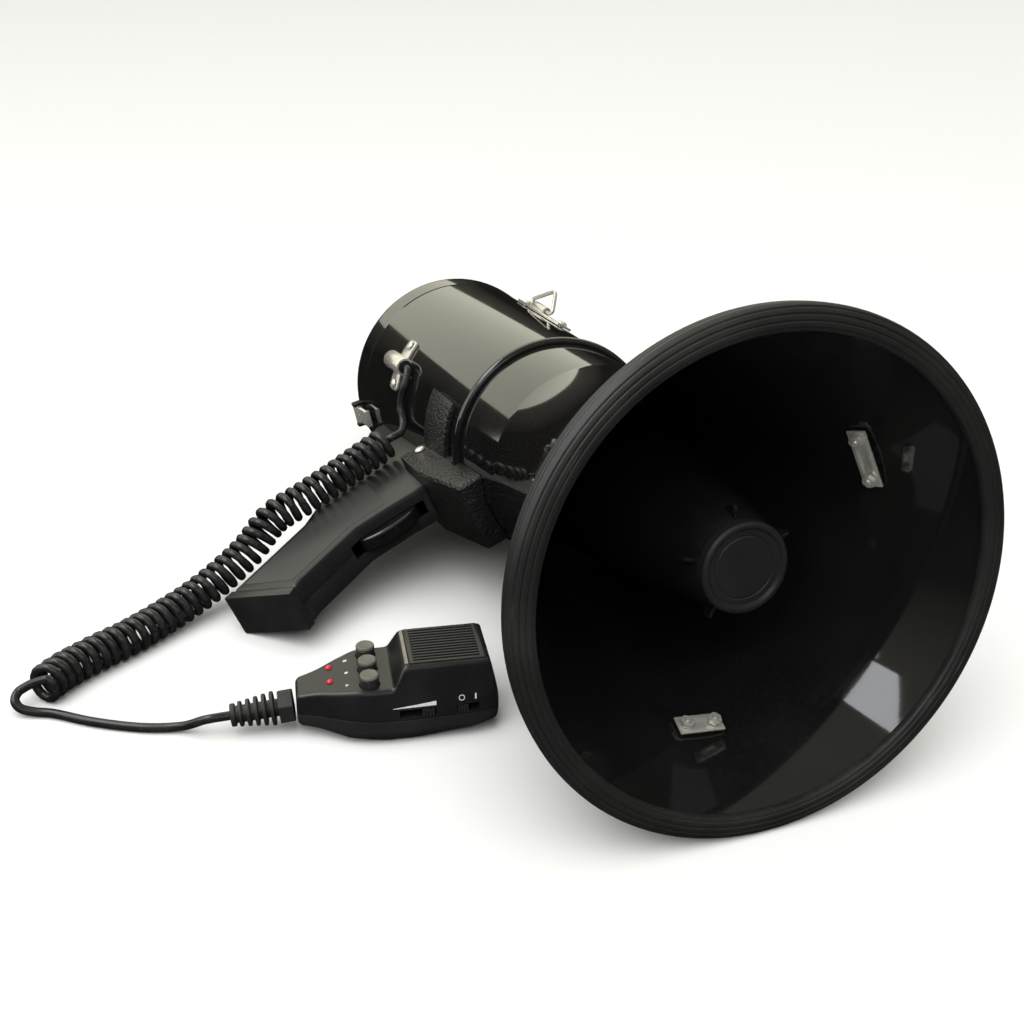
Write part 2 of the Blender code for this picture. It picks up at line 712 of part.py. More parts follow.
def make_reflector_cap(parent):
    floor = CAP_STATION + CAP_LIP
    lip = CAP_RADIUS - CAP_LIP_WIDTH
    outer = [
        (floor, 0.0), (floor, lip * 0.80), (floor + CAP_LIP / 3, lip * 0.825), (floor, lip * 0.85),
        (floor, lip), (CAP_STATION, lip + CAP_LIP_WIDTH * 0.35), (CAP_STATION, lip + CAP_LIP_WIDTH * 0.65),
        (CAP_STATION + CAP_LIP * 0.7, CAP_RADIUS), (CAP_STATION + CAP_DEPTH, CAP_RADIUS),
        (CAP_STATION + CAP_DEPTH, 0.0),
    ]
    return turned("reflector_cap", section_of(outer), "satin_black", parent, steps=MIDDLE_STEPS)


def make_throat(parent):
    """The tube that carries sound forward, with the webs that hold the reflector on it."""
    rear = DRIVER_FRONT - GAP
    outer = [(THROAT_FRONT, THROAT_RADIUS), (rear, THROAT_REAR_RADIUS)]
    inner = [(THROAT_FRONT, THROAT_RADIUS - THROAT_WALL), (rear, THROAT_REAR_RADIUS - THROAT_WALL)]
    tube = turned("throat_tube", section_of(outer, inner), "satin_black", parent, steps=MIDDLE_STEPS)
    end = reflector_front() + REFLECTOR_LENGTH - WEB_THICKNESS
    start = end - WEB_LENGTH
    root = THROAT_RADIUS + (THROAT_REAR_RADIUS - THROAT_RADIUS) * (start - THROAT_FRONT) / (rear - THROAT_FRONT)
    low_reach = reflector_radius(start) - REFLECTOR_WALL - WEB_END_GAP
    high_reach = reflector_radius(end) - REFLECTOR_WALL - WEB_END_GAP
    outline = [(start, root - THROAT_WALL / 2), (end, root), (end, high_reach), (start, low_reach)]
    for i in range(WEB_COUNT):
        spoke = Matrix.Rotation(math.tau * i / WEB_COUNT, 4, "Y") @ SIDE_VIEW
        join(tube, slab(f"web_form_{i}", outline, WEB_THICKNESS, None, parent, spoke))
    return tube


def make_driver(parent):
    """Compression driver: a housing whose flange closes the neck, and its magnet."""
    front = DRIVER_FRONT
    rear = front + DRIVER_DEPTH
    bore = THROAT_REAR_RADIUS - THROAT_WALL
    flange = spigot_radius() - HORN_WALL - RUNNING_GAP
    inside = DRIVER_RADIUS - DRIVER_WALL
    outer = [(front, bore), (front, DRIVER_RADIUS), (rear - DRIVER_WALL, DRIVER_RADIUS),
             (rear - DRIVER_WALL, flange), (rear, flange)]
    inner = [(front + DRIVER_WALL, bore), (front + DRIVER_WALL, inside), (rear, inside)]
    turned("driver_housing", section_of(outer, inner), "satin_black", parent)
    edge = inside - GAP
    pole = front + DRIVER_WALL + POLE_CLEAR
    plate = rear - MAGNET_PLATE
    outer = [(pole, 0.0), (pole, POLE_RADIUS), (plate, POLE_RADIUS), (plate, edge), (rear, edge), (rear, 0.0)]
    turned("driver_magnet", section_of(outer), "ferrite", parent, steps=MIDDLE_STEPS)


# ======================================================================================
# Bolts, strips, loops, hook and clamp
# ======================================================================================

def through_bolt(name, parent, matrix, top, bottom, pieces):
    """A domed bolt along Z and its nut, in a hole through the pieces."""
    head = top + GAP
    nut = bottom - GAP
    section = [
        (0.0, head + HEAD_HEIGHT), (HEAD_RADIUS * 0.6, head + HEAD_HEIGHT), (HEAD_RADIUS, head + HEAD_HEIGHT / 2),
        (HEAD_RADIUS, head), (BOLT_RADIUS, head), (BOLT_RADIUS, nut), (NUT_RADIUS, nut),
        (NUT_RADIUS, nut - NUT_HEIGHT), (BOLT_RADIUS, nut - NUT_HEIGHT),
        (BOLT_RADIUS, nut - NUT_HEIGHT - THREAD_END), (0.0, nut - NUT_HEIGHT - THREAD_END),
    ]
    turned(name, section, "nickel", parent, matrix, SCREW_STEPS)
    hole = rod(f"{name}_hole", BOLT_RADIUS + GAP, nut, head, None, parent, matrix, SCREW_STEPS)
    for piece in pieces:
        cut(piece, hole)


def set_screw(name, parent, matrix, depth, pieces):
    """A domed screw along Z whose head stands on the surface at Z = 0."""
    section = [
        (0.0, GAP + HEAD_HEIGHT), (HEAD_RADIUS * 0.6, GAP + HEAD_HEIGHT), (HEAD_RADIUS, GAP + HEAD_HEIGHT / 2),
        (HEAD_RADIUS, GAP), (BOLT_RADIUS, GAP), (BOLT_RADIUS, -depth), (0.0, -depth),
    ]
    turned(name, section, "nickel", parent, matrix, SCREW_STEPS)
    hole = rod(f"{name}_hole", BOLT_RADIUS + GAP, -depth - GAP, HEAD_HEIGHT, None, parent, matrix, SCREW_STEPS)
    for piece in pieces:
        cut(piece, hole)


def backing(name, parent, seat, radius, length):
    """The strip behind the bell's wall, bent nowhere, and the height of its inner face."""
    top = -HORN_WALL - bend_of(radius, length / 2) - BENT_GAP
    low = (-length / 2, -STRIP_WIDTH / 2, top - SHEET)
    high = (length / 2, STRIP_WIDTH / 2, top)
    return box(name, low, high, "nickel", parent, seat, round_edge=SHEET / 4), top - SHEET


def make_front_strap(parent, bell):
    """Strap loop on the bell, with its strip outside and its backing strip inside."""
    seat = wall_frame(bell_radius, STRAP_STATION, STRAP_ANGLE)
    half = STRAP_LENGTH / 2
    top = BENT_GAP + SHEET
    anchor = box("strap_anchor", (-half, -STRIP_WIDTH / 2, BENT_GAP), (half, STRIP_WIDTH / 2, top),
                 "nickel", parent, seat)
    plate, bottom = backing("strap_backing_plate", parent, seat, bell_radius(STRAP_STATION), STRAP_LENGTH)
    for i, side in enumerate((-1, 1), start=1):
        spot = seat @ moved(x=side * STRAP_PITCH / 2)
        through_bolt(f"strap_bolt_{i}", parent, spot, top, bottom, (anchor, bell, plate))
    hinge = top + GAP + HEAD_HEIGHT + RUNNING_GAP + WIRE_RADIUS
    outside = WIRE_RADIUS + RUNNING_GAP + TUNNEL_WALL
    tunnel = seat @ moved(z=hinge) @ TO_THE_LEFT
    half = FRONT_TUNNEL / 2
    foot = box("front_tunnel_foot", (-half, -outside * 0.8, top - SHEET / 2), (half, outside * 0.8, hinge),
               None, parent, seat)
    join(anchor, foot, rod("front_tunnel_form", outside, -half, half, None, parent, tunnel))
    cut(anchor, rod("front_tunnel_bore", outside - TUNNEL_WALL, -2 * half, 2 * half, None, parent, tunnel))
    axis = frame("front_loop_axis", parent, seat @ moved(z=hinge))
    wide, tall = FRONT_LOOP_HALF, FRONT_LOOP_REACH
    shape = [(0.0, 0.0), (0.92, 0.0), (1.0, 0.08), (1.0, 0.35), (0.86, 0.70), (0.50, 0.94), (0.0, 1.0)]
    shape += [(-x, z) for x, z in reversed(shape[1:-1])]
    points = [(x * wide, 0.0, z * tall) for x, z in shape]
    lean = Matrix.Rotation(math.radians(-FRONT_LOOP_LEAN), 4, "X")
    wire("front_strap_loop", points, WIRE_RADIUS, "nickel", axis, lean, cyclic=True, resolution=1)


def make_hook(parent, bell):
    """Hook for the microphone on the bell, with its backing strip inside."""
    seat = wall_frame(bell_radius, HOOK_STATION, HOOK_ANGLE)
    half = HOOK_LENGTH / 2
    edge = STRIP_WIDTH / 2
    top = BENT_GAP + SHEET
    arm = top + HOOK_SPACE
    hook = box("mic_hook", (-half, -edge, BENT_GAP), (half, edge, top), "nickel", parent, seat)
    wall = box("hook_wall", (-HOOK_ARM / 2, edge - SHEET, BENT_GAP + SHEET / 4), (HOOK_ARM / 2, edge - SHEET / 8, arm),
               None, parent, seat)
    tip = edge - HOOK_REACH
    reach = box("hook_reach", (-HOOK_ARM * 0.45, tip, arm - SHEET / 4), (HOOK_ARM * 0.45, edge - SHEET / 4, arm + SHEET),
                None, parent, seat)
    join(hook, wall, reach)
    plate, bottom = backing("hook_backing_plate", parent, seat, bell_radius(HOOK_STATION), HOOK_LENGTH)
    for i, side in enumerate((-1, 1), start=1):
        spot = seat @ moved(x=side * HOOK_PITCH / 2)
        through_bolt(f"hook_bolt_{i}", parent, spot, top, bottom, (hook, bell, plate))


def make_rear_strap(parent, barrel):
    """Long strap strip on the barrel with its upright loop."""
    seat = wall_frame(barrel_radius, REAR_STRAP_STATION, REAR_STRAP_ANGLE)
    top = GAP + SHEET
    half = REAR_STRAP_LENGTH / 2
    anchor = box("rear_strap_anchor", (-STRIP_WIDTH / 2, -half, GAP), (STRIP_WIDTH / 2, half, top),
                 "nickel", parent, seat)
    for i, side in enumerate((-1, 1), start=1):
        spot = seat @ moved(y=side * REAR_STRAP_PITCH / 2, z=top)
        set_screw(f"anchor_screw_{i}", parent, spot, top + BARREL_WALL + THREAD_END, (anchor, barrel))
    hinge = top + RUNNING_GAP + WIRE_RADIUS
    outside = WIRE_RADIUS + RUNNING_GAP + TUNNEL_WALL
    middle = seat @ moved(y=REAR_TUNNEL_SHIFT, z=hinge)
    half = REAR_TUNNEL / 2
    foot = box("rear_tunnel_foot", (-outside * 0.8, -half, -hinge + top - SHEET / 2), (outside * 0.8, half, 0.0),
               None, parent, middle)
    join(anchor, foot, rod("rear_tunnel_form", outside, -half, half, None, parent, middle @ TO_THE_REAR))
    bore = rod("rear_tunnel_bore", outside - TUNNEL_WALL, -2 * half, 2 * half, None, parent, middle @ TO_THE_REAR)
    cut(anchor, bore)
    cut(anchor, box("barrel_below", (-half, -2 * half, -hinge - half), (half, 2 * half, -hinge + GAP), None, parent, middle))
    axis = frame("rear_loop_axis", parent, middle)
    wide, tall = REAR_LOOP_HALF, REAR_LOOP_REACH
    ahead = -REAR_LOOP_APEX / wide
    shape = [(0.0, 0.0), (0.90, 0.0), (1.0, 0.10), (0.98, 0.24), (ahead + 0.22, 0.90), (ahead, 1.0),
             (ahead - 0.17, 0.90), (-0.98, 0.24), (-1.0, 0.10), (-0.90, 0.0)]
    points = [(0.0, y * wide, z * tall) for y, z in shape]
    wire("rear_strap_loop", points, WIRE_RADIUS, "nickel", axis, cyclic=True, resolution=1)


def barrel_form(name, parent, gap):
    """The space that the neck, the black ring and the barrel take, with a gap round them."""
    swell = ring_radius() + RING_TUBE + gap
    before = RING_STATION - RING_TUBE - gap
    after = RING_STATION + RING_TUBE + gap
    outer = [
        (NECK_STATION, 0.0), (NECK_STATION, barrel_radius(NECK_STATION) + gap), (before, barrel_radius(before) + gap),
        (before, swell), (after, swell), (after, barrel_radius(after) + gap),
        (CAP_END, barrel_radius(CAP_END) + gap), (CAP_END, 0.0),
    ]
    return turned(name, section_of(outer), None, parent)


def make_clamp(parent, barrel):
    """Saddle over the place where the cord leaves the barrel, with its rubber gland."""
    seat = wall_frame(barrel_radius, CLAMP_STATION, CLAMP_ANGLE)
    front, rear = CLAMP_STATION - ARCH_LENGTH, CLAMP_STATION + ARCH_LENGTH
    outer = [(s, barrel_radius(s) + GAP + SHEET) for s in (front, rear)]
    inner = [(s, barrel_radius(s) + GAP) for s in (front, rear)]
    clamp = turned("cable_clamp", section_of(outer, inner), "nickel", parent)
    window = box("clamp_window", (-CLAMP_LENGTH / 2, -CLAMP_WIDTH / 2, -CLAMP_WIDTH),
                 (CLAMP_LENGTH / 2, CLAMP_WIDTH / 2, CLAMP_WIDTH), None, parent, seat, round_edge=CLAMP_WIDTH / 4)
    keep(clamp, window)
    half = ARCH_LENGTH / 2
    arch = seat @ moved(z=ARCH_HEIGHT) @ TO_THE_REAR
    join(clamp, rod("arch_form", ARCH_BORE + ARCH_WALL, -half, half, None, parent, arch))
    cut(clamp, rod("arch_bore", ARCH_BORE, -half - ARCH_WALL, half - ARCH_WALL, None, parent, arch))
    cut(clamp, barrel_form("clamp_barrel", parent, GAP))
    for i, side in enumerate((-1, 1), start=1):
        turn = math.degrees(side * CLAMP_PITCH / 2 / barrel_radius(CLAMP_STATION))
        spot = wall_frame(barrel_radius, CLAMP_STATION, CLAMP_ANGLE + turn) @ moved(z=GAP + SHEET)
        set_screw(f"clamp_screw_{i}", parent, spot, GAP + SHEET + BARREL_WALL + THREAD_END, (clamp, barrel))
    gland = rod("cord_gland", ARCH_BORE - GAP, -half + GLAND_SET_BACK, half - ARCH_WALL - GAP,
                "rubber_black", parent, arch)
    cut(gland, barrel_form("gland_barrel", parent, GAP))


# ======================================================================================
# Barrel
# ======================================================================================

def make_barrel(parent):
    rear = SEAM_STATION - SEAM_GAP / 2
    outer = [(s, barrel_radius(s)) for s in (BARREL_FRONT, rear)]
    inner = [(s, barrel_radius(s) - BARREL_WALL) for s in (BARREL_FRONT, rear)]
    return turned("barrel_shell", section_of(outer, inner), "gloss_black", parent)


def skirt_radius():
    return barrel_radius(SEAM_STATION - SKIRT_LENGTH) - BARREL_WALL - RUNNING_GAP


def make_rear_cap(parent):
    start = SEAM_STATION + SEAM_GAP / 2
    skirt = SEAM_STATION - SKIRT_LENGTH
    bore = skirt_radius() - REAR_CAP_WALL
    edge = cap_radius(CAP_WIDEST)
    outer = [
        (skirt, skirt_radius()), (start, skirt_radius()), (start, barrel_radius(start)),
        (CAP_WIDEST, edge), (CAP_END - REAR_CAP_ROUND * 0.3, edge - REAR_CAP_ROUND * 0.35),
        (CAP_END, edge - REAR_CAP_ROUND), (CAP_END, 0.0),
    ]
    inner = [(skirt, bore), (CAP_END - REAR_CAP_WALL, bore), (CAP_END - REAR_CAP_WALL, 0.0)]
    axis = frame("rear_cap_axis", parent, moved(y=SEAM_STATION))
    on_axis = moved(y=-SEAM_STATION) @ ALONG_AXIS
    cap = turned("rear_cap", section_of(outer, inner), "gloss_black", axis, on_axis)
    make_catch(parent, cap)


def make_catch(parent, cap):
    """Sprung catch that hangs between two ears on the rear cap and reaches over the seam."""
    seat = wall_frame(cap_radius, CAP_END - CATCH_AHEAD, CATCH_ANGLE)
    hinge = seat @ moved(z=CATCH_RISE)
    inner = CATCH_WIDTH / 2 + RUNNING_GAP
    for i, side in enumerate((-1, 1)):
        low, high = sorted((side * inner, side * (inner + CATCH_EAR)))
        ear = box(f"ear_form_{i}", (low, -CATCH_HUB, -CATCH_RISE - CATCH_EAR), (high, CATCH_HUB, CATCH_HUB), None, parent, hinge)
        join(cap, ear)
    reach = inner + CATCH_EAR / 2
    cut(cap, rod("ear_bore", CATCH_PIN + RUNNING_GAP, -reach - GAP, reach + GAP, None, parent, hinge @ TO_THE_LEFT, SCREW_STEPS))
    axis = frame("catch_axis", parent, hinge)
    half = CATCH_WIDTH / 2
    level = CATCH_THICKNESS / 2
    catch = rod("cap_catch", CATCH_HUB, -half, half, "nickel", axis, TO_THE_LEFT)
    plate = box("catch_plate", (-half * 0.98, -CATCH_REACH, -level), (half * 0.98, 0.0, level), None, axis,
                round_edge=level / 2)
    lip = box("catch_lip", (-half * 0.96, -CATCH_REACH, -level - CATCH_THICKNESS / 3), (half * 0.96, -CATCH_REACH + CATCH_THICKNESS, level * 0.9), None, axis)
    pin = rod("catch_pin", CATCH_PIN, -reach, reach, None, axis, TO_THE_LEFT, SCREW_STEPS)
    join(catch, plate, lip, pin)


def make_batteries(parent):
    """Carrier with two plates on a rod, and the stacks of cells between them."""
    stack = CELLS_IN_STACK * CELL_LENGTH + 2 * GAP
    rear_plate = CARRIER_REAR - CARRIER_PLATE
    front_plate = rear_plate - stack
    front = front_plate - CARRIER_PLATE
    front_edge = barrel_radius(front) - BARREL_WALL - CARRIER_EDGE
    rear_edge = skirt_radius() - REAR_CAP_WALL - CARRIER_EDGE
    outer = [
        (front, 0.0), (front, front_edge), (front_plate, front_edge), (front_plate, CARRIER_ROD),
        (rear_plate, CARRIER_ROD), (rear_plate, rear_edge), (CARRIER_REAR, rear_edge), (CARRIER_REAR, 0.0),
    ]
    turned("battery_carrier", section_of(outer), "carrier_grey", parent, steps=MIDDLE_STEPS)
    can = CELL_LENGTH - CELL_NUB
    outer = [(0.0, 0.0), (0.0, CELL_NUB_RADIUS)]
    for i in range(CELLS_IN_STACK):
        start = i * CELL_LENGTH + CELL_NUB
        outer += [(start, CELL_NUB_RADIUS), (start, CELL_RADIUS), (start + can, CELL_RADIUS)]
        if i < CELLS_IN_STACK - 1:
            outer.append((start + can, CELL_NUB_RADIUS))
    outer.append((CELLS_IN_STACK * CELL_LENGTH, 0.0))
    for i in range(STACK_COUNT):
        turn = math.tau * (i + 0.5) / STACK_COUNT
        spot = moved(STACK_CIRCLE * math.sin(turn), front_plate + GAP, STACK_CIRCLE * math.cos(turn)) @ ALONG_AXIS
        turned(f"battery_stack_{i + 1}", section_of(outer), "cell_label", parent, spot, SMALL_STEPS)


def make_board(parent):
    """Amplifier board across the barrel, behind the horn's spigot."""
    front = BARREL_FRONT + SPIGOT_LENGTH + GAP
    radius = barrel_radius(front) - BARREL_WALL - RUNNING_GAP
    spot = moved(y=front) @ TO_THE_REAR
    board = rod("amplifier_board", radius, 0.0, BOARD_THICKNESS, "board_green", parent, spot, MIDDLE_STEPS)
    long, wide, tall = CHIP_SIZE
    for i, (x, y) in enumerate(BOARD_CHIPS):
        low = (x - long / 2, y - wide / 2, BOARD_THICKNESS / 2)
        high = (x + long / 2, y + wide / 2, BOARD_THICKNESS + tall)
        join(board, box(f"chip_form_{i}", low, high, None, parent, spot))


# ======================================================================================
# Grip
# ======================================================================================

def make_bracket(parent):
    """Cast bracket under the neck and the barrel, with a saddle band that hugs the barrel."""
    top = grip_datum() - BRACKET_HALF
    bottom = grip_datum() + BRACKET_DROP
    nose = grip_datum() + BRACKET_NOSE_DROP
    outline = [(BRACKET_FRONT, top), (BRACKET_REAR, top), (BRACKET_REAR, bottom),
               (GRIP_FRONT_EDGE[-1][0], bottom), (BRACKET_FRONT, nose)]
    bracket = slab("grip_bracket", outline, 2 * BRACKET_HALF, "crinkle_black", parent, SIDE_VIEW)
    soften(bracket, GRIP_WALL / 2, 1)
    outer = [(s, barrel_radius(s) + GAP + SADDLE_THICKNESS) for s in (SADDLE_FRONT, SADDLE_REAR)]
    inner = [(s, barrel_radius(s) - BARREL_WALL) for s in (SADDLE_FRONT, SADDLE_REAR)]
    band = turned("saddle_form", section_of(outer, inner), None, parent)
    ears = barrel_radius(SADDLE_REAR) * math.cos(math.radians(SADDLE_ANGLE))
    reach = 2 * barrel_radius(SADDLE_REAR)
    keep(band, box("saddle_window", (-reach, 0.0, -reach), (reach, SEAM_STATION, -ears), None, parent))
    join(bracket, band)
    cut(bracket, barrel_form("bracket_barrel", parent, GAP))
    height = -grip_datum() - BRACKET_SCREW_DROP
    for i, side in enumerate((-1, 1), start=1):
        spot = moved(side * BRACKET_HALF, BRACKET_SCREW_STATION, height) @ Matrix.Rotation(side * math.pi / 2, 4, "Y")
        set_screw(f"bracket_screw_{i}", parent, spot, BRACKET_SCREW_DEPTH, (bracket,))


def grip_outline():
    """The grip's side view without its tip cap, the same below the bracket, and the tip cap's outline."""
    rear = down(GRIP_REAR_EDGE)
    front = down(GRIP_FRONT_EDGE)
    tip_rear, tip_front = down([GRIP_TIP_REAR, GRIP_TIP_FRONT])
    under_bracket = grip_datum() + BRACKET_DROP + GAP
    hidden_top = grip_datum() - BRACKET_HALF
    behind = BRACKET_REAR + GAP
    edge = [(TANG_REAR, hidden_top), *rear, toward(tip_rear, rear[-1], TIP_CAP + GAP),
            toward(tip_front, front[0], TIP_CAP + GAP), *front]
    body = [*edge, (front[-1][0], hidden_top)]
    below = [*edge, (front[-1][0], under_bracket), (behind, under_bracket), (behind, hidden_top)]
    cap = [toward(tip_rear, rear[-1], TIP_CAP), tip_rear, tip_front, toward(tip_front, front[0], TIP_CAP)]
    return body, below, cap


def make_grip(parent):
    """Two moulded half shells, the cap on their tip, the trigger and its switch."""
    body, below, tip = grip_outline()
    centre = moved(y=TRIGGER_STATION, z=-grip_datum() - TRIGGER_DROP)
    pin_half = GRIP_HALF - PIN_WALL
    far = 2 * SEAM_STATION
    slot_half = TRIGGER_HALF + RUNNING_GAP
    hollow = slab("grip_hollow", inset(below, GRIP_WALL), 2 * (GRIP_HALF - GRIP_WALL), None, parent, SIDE_VIEW)
    low = (-slot_half, GRIP_TIP_FRONT[0] - TRIGGER_STATION, -SLOT_BELOW)
    slot = box("trigger_slot", low, (slot_half, 0.0, SLOT_ABOVE), None, parent, centre)
    pin_hole = rod("pin_hole", PIN_RADIUS + GAP, -pin_half - GAP, pin_half + GAP, None, parent, centre @ TO_THE_LEFT)
    around = barrel_form("grip_barrel", parent, GAP)
    top = grip_datum() + BRACKET_DROP + GAP
    notch = box("bracket_space", (-BRACKET_HALF, 0.0, -top), (BRACKET_HALF, BRACKET_REAR + GAP, 0.0), None, parent)
    for name, side in (("left", 1), ("right", -1)):
        shell = slab(f"grip_shell_{name}", body, 2 * GRIP_HALF, "satin_black", parent, SIDE_VIEW)
        soften(shell, GRIP_ROUND)
        low, high = sorted((side * GAP / 2, side * GRIP_HALF * 2))
        cut(shell, around, notch, pin_hole, slot, hollow)
        keep(shell, box(f"grip_{name}_half", (low, -far, -far), (high, far, far), None, parent))
    cap = slab("grip_end_cap", tip, 2 * GRIP_HALF, "satin_black", parent, SIDE_VIEW)
    soften(cap, GRIP_ROUND / 4)
    make_trigger(parent, centre, pin_half)


def make_trigger(parent, centre, pin_half):
    axis = frame("trigger_axis", parent, centre)
    trigger = slab("trigger", TRIGGER_EDGE, 2 * TRIGGER_HALF, "gloss_black", axis, SIDE_VIEW)
    soften(trigger, TRIGGER_ROUND)
    cut(trigger, rod("trigger_bore", PIN_RADIUS + GAP, -pin_half, pin_half, None, axis, TO_THE_LEFT))
    rod("trigger_pin", PIN_RADIUS, -pin_half, pin_half, "steel", parent, centre @ TO_THE_LEFT)
    half = GRIP_HALF - GRIP_WALL - GAP
    long, tall = SWITCH_SIZE
    low = (-half, SWITCH_BEHIND, -SWITCH_BELOW - tall)
    switch = box("trigger_switch", low, (half, SWITCH_BEHIND + long, -SWITCH_BELOW), "carrier_grey", parent, centre)
    middle = -SWITCH_BELOW - tall / 2
    low = (-PLUNGER_HALF, SWITCH_BEHIND - PLUNGER, middle - PLUNGER_HALF)
    plunger = box("plunger_form", low, (PLUNGER_HALF, SWITCH_BEHIND + PLUNGER, middle + PLUNGER_HALF), None, parent, centre)
    join(switch, plunger)


# ======================================================================================
# Microphone
# ======================================================================================

def mic_plan(wall):
    """Plan outline of the microphone, moved inwards by `wall`."""
    side = [point.to_2d() for point in smooth_path([(p * MIC_LENGTH, w, 0.0) for p, w in MIC_PLAN], MIC_PLAN_STEP)]
    outline = [(x, -y) for x, y in side] + [(x, y) for x, y in reversed(side)]
    return inset(outline, wall) if wall else outline


def mic_cross(wall):
    """Cross-section outline (across, height), wide up to the shoulder and narrow at the grille."""
    widest = max(half for _, half in MIC_PLAN) + GAP
    narrow = widest - MIC_TOP_NARROW
    panel = widest - MIC_TOP_NARROW * 0.42
    foot = widest - MIC_TOP_NARROW
    right = [(foot, 0.0), (widest, MIC_SPLIT * 0.45), (widest, MIC_SHOULDER), (panel, MIC_FACE), (narrow, MIC_TOP)]
    outline = right + [(-x, z) for x, z in reversed(right)]
    return inset(outline, wall) if wall else outline


def mic_upper_side(wall):
    """Side outline (along, height) of the front shell."""
    top = [(0.0, MIC_REAR_FACE), (PANEL_START, MIC_FACE), (BLOCK_FOOT, MIC_FACE), (BLOCK_START, MIC_TOP),
           (BLOCK_END, MIC_TOP), (1.0, MIC_HEAD_FACE)]
    outline = [(p * MIC_LENGTH, z) for p, z in top]
    floor = MIC_SPLIT + GAP / 2 - wall * 2
    outline = [(0.0, floor)] + outline + [(MIC_LENGTH, floor)]
    return inset(outline, wall) if wall else outline


def mic_lower_side(wall):
    """Side outline (along, height) of the back shell."""
    belly = [(0.0, MIC_REAR_FLOOR), (BELLY_START / 2, MIC_REAR_FLOOR * 0.62), (BELLY_START, 0.0), (BELLY_END, 0.0),
             (BELLY_END + 0.25, MIC_HEAD_FLOOR * 0.5), (1.0, MIC_HEAD_FLOOR)]
    outline = [(p * MIC_LENGTH, z) for p, z in belly]
    ceiling = MIC_SPLIT - GAP / 2 + wall * 2
    outline = [(0.0, ceiling)] + outline + [(MIC_LENGTH, ceiling)]
    return inset(outline, wall) if wall else outline


def mic_shell(name, side, look, parent, wall=0.0):
    """What the plan, the cross-section and the side outline share."""
    high = 2 * MIC_TOP + MIC_WALL
    body = slab(name, mic_plan(wall), high, look, parent)
    cross = slab(f"{name}_cross", mic_cross(wall), 4 * MIC_LENGTH, None, parent, CROSS_VIEW)
    flank = slab(f"{name}_flank", side(wall), high, None, parent, MIC_SIDE_VIEW)
    keep(body, flank, cross)
    return body


def make_mic(parent):
    front = mic_shell("mic_front_shell", mic_upper_side, "mic_black", parent)
    back = mic_shell("mic_back_shell", mic_lower_side, "mic_black", parent)
    cut(front, mic_shell("front_hollow", mic_upper_side, None, parent, MIC_WALL))
    cut(back, mic_shell("back_hollow", mic_lower_side, None, parent, MIC_WALL))
    make_grille(parent, front)
    make_keys(parent, front)
    make_sliders(parent, front)
    make_talk_button(parent, front)
    make_hang_button(parent, back)
    make_relief(parent)


def make_grille(parent, shell):
    """Slotted grille set into the top of the block, and the capsule under it."""
    start = BLOCK_START * MIC_LENGTH + GRILLE_MARGIN
    end = BLOCK_END * MIC_LENGTH - GRILLE_MARGIN
    base = MIC_TOP + GRILLE_PROUD - GRILLE_DEPTH
    top = MIC_TOP + GRILLE_PROUD
    half = GRILLE_HALF - GAP
    cut(shell, box("grille_window", (start, -GRILLE_HALF, base - GAP), (end, GRILLE_HALF, top + GAP), None, parent))
    grille = box("mic_grille", (start + GAP, -half, base), (end - GAP, half, top), "mic_black", parent)
    pitch = 2 * half / (GRILLE_SLOTS + 1)
    comb = [(-half, top + GRILLE_PROUD)]
    for i in range(GRILLE_SLOTS):
        middle = -half + pitch * (i + 1)
        left, right = middle - GRILLE_SLOT / 2, middle + GRILLE_SLOT / 2
        over, under = top + GAP, top - GRILLE_SLOT_DEPTH
        comb += [(left, over), (left, under), (right, under), (right, over)]
    comb.append((half, top + GRILLE_PROUD))
    length = end - start - 4 * GRILLE_SLOT
    cut(grille, slab("grille_comb", comb, length, None, parent, moved(x=(start + end) / 2) @ CROSS_VIEW))
    spot = moved(x=(start + end) / 2)
    rod("mic_capsule", CAPSULE_RADIUS, base - 2 * GAP - CAPSULE_DEPTH, base - 2 * GAP, "steel", parent, spot)


def make_keys(parent, shell):
    """Three round keys and two indicator lamps on the panel."""
    for i in range(BUTTON_COUNT):
        across = (i - (BUTTON_COUNT - 1) / 2) * BUTTON_PITCH
        axis = frame(f"mic_button_{i + 1}_axis", parent, moved(BUTTON_PLACE * MIC_LENGTH, across, MIC_FACE))
        section = [
            (0.0, BUTTON_PROUD), (BUTTON_RADIUS * 0.86, BUTTON_PROUD), (BUTTON_RADIUS, BUTTON_PROUD - 0.0006),
            (BUTTON_RADIUS, -BUTTON_STEM), (0.0, -BUTTON_STEM),
        ]
        turned(f"mic_button_{i + 1}", section, "button_grey", axis, Matrix(), SMALL_STEPS)
        hole = BUTTON_RADIUS + RUNNING_GAP
        cut(shell, rod(f"button_hole_{i}", hole, -BUTTON_STEM, BUTTON_PROUD, None, axis))
    slope = (MIC_FACE - MIC_REAR_FACE) / PANEL_START
    for i, across in enumerate(LED_ACROSS, start=1):
        spot = moved(LED_PLACE * MIC_LENGTH, across, MIC_REAR_FACE + slope * LED_PLACE)
        section = [
            (0.0, LED_PROUD), (LED_RADIUS * 0.6, LED_PROUD * 0.75), (LED_RADIUS, 0.0), (LED_RADIUS, -LED_STEM),
            (0.0, -LED_STEM),
        ]
        turned(f"mic_led_{i}", section, "lamp_red", parent, spot, SCREW_STEPS)
        cut(shell, rod(f"led_hole_{i}", LED_RADIUS + GAP, -LED_STEM, LED_PROUD, None, parent, spot, SCREW_STEPS))


def mic_half_width(place):
    """Half width of the microphone at a part of its length."""
    for (a, start), (b, end) in zip(MIC_PLAN, MIC_PLAN[1:]):
        if place <= b:
            return start + (end - start) * (place - a) / (b - a)
    return MIC_PLAN[-1][1]


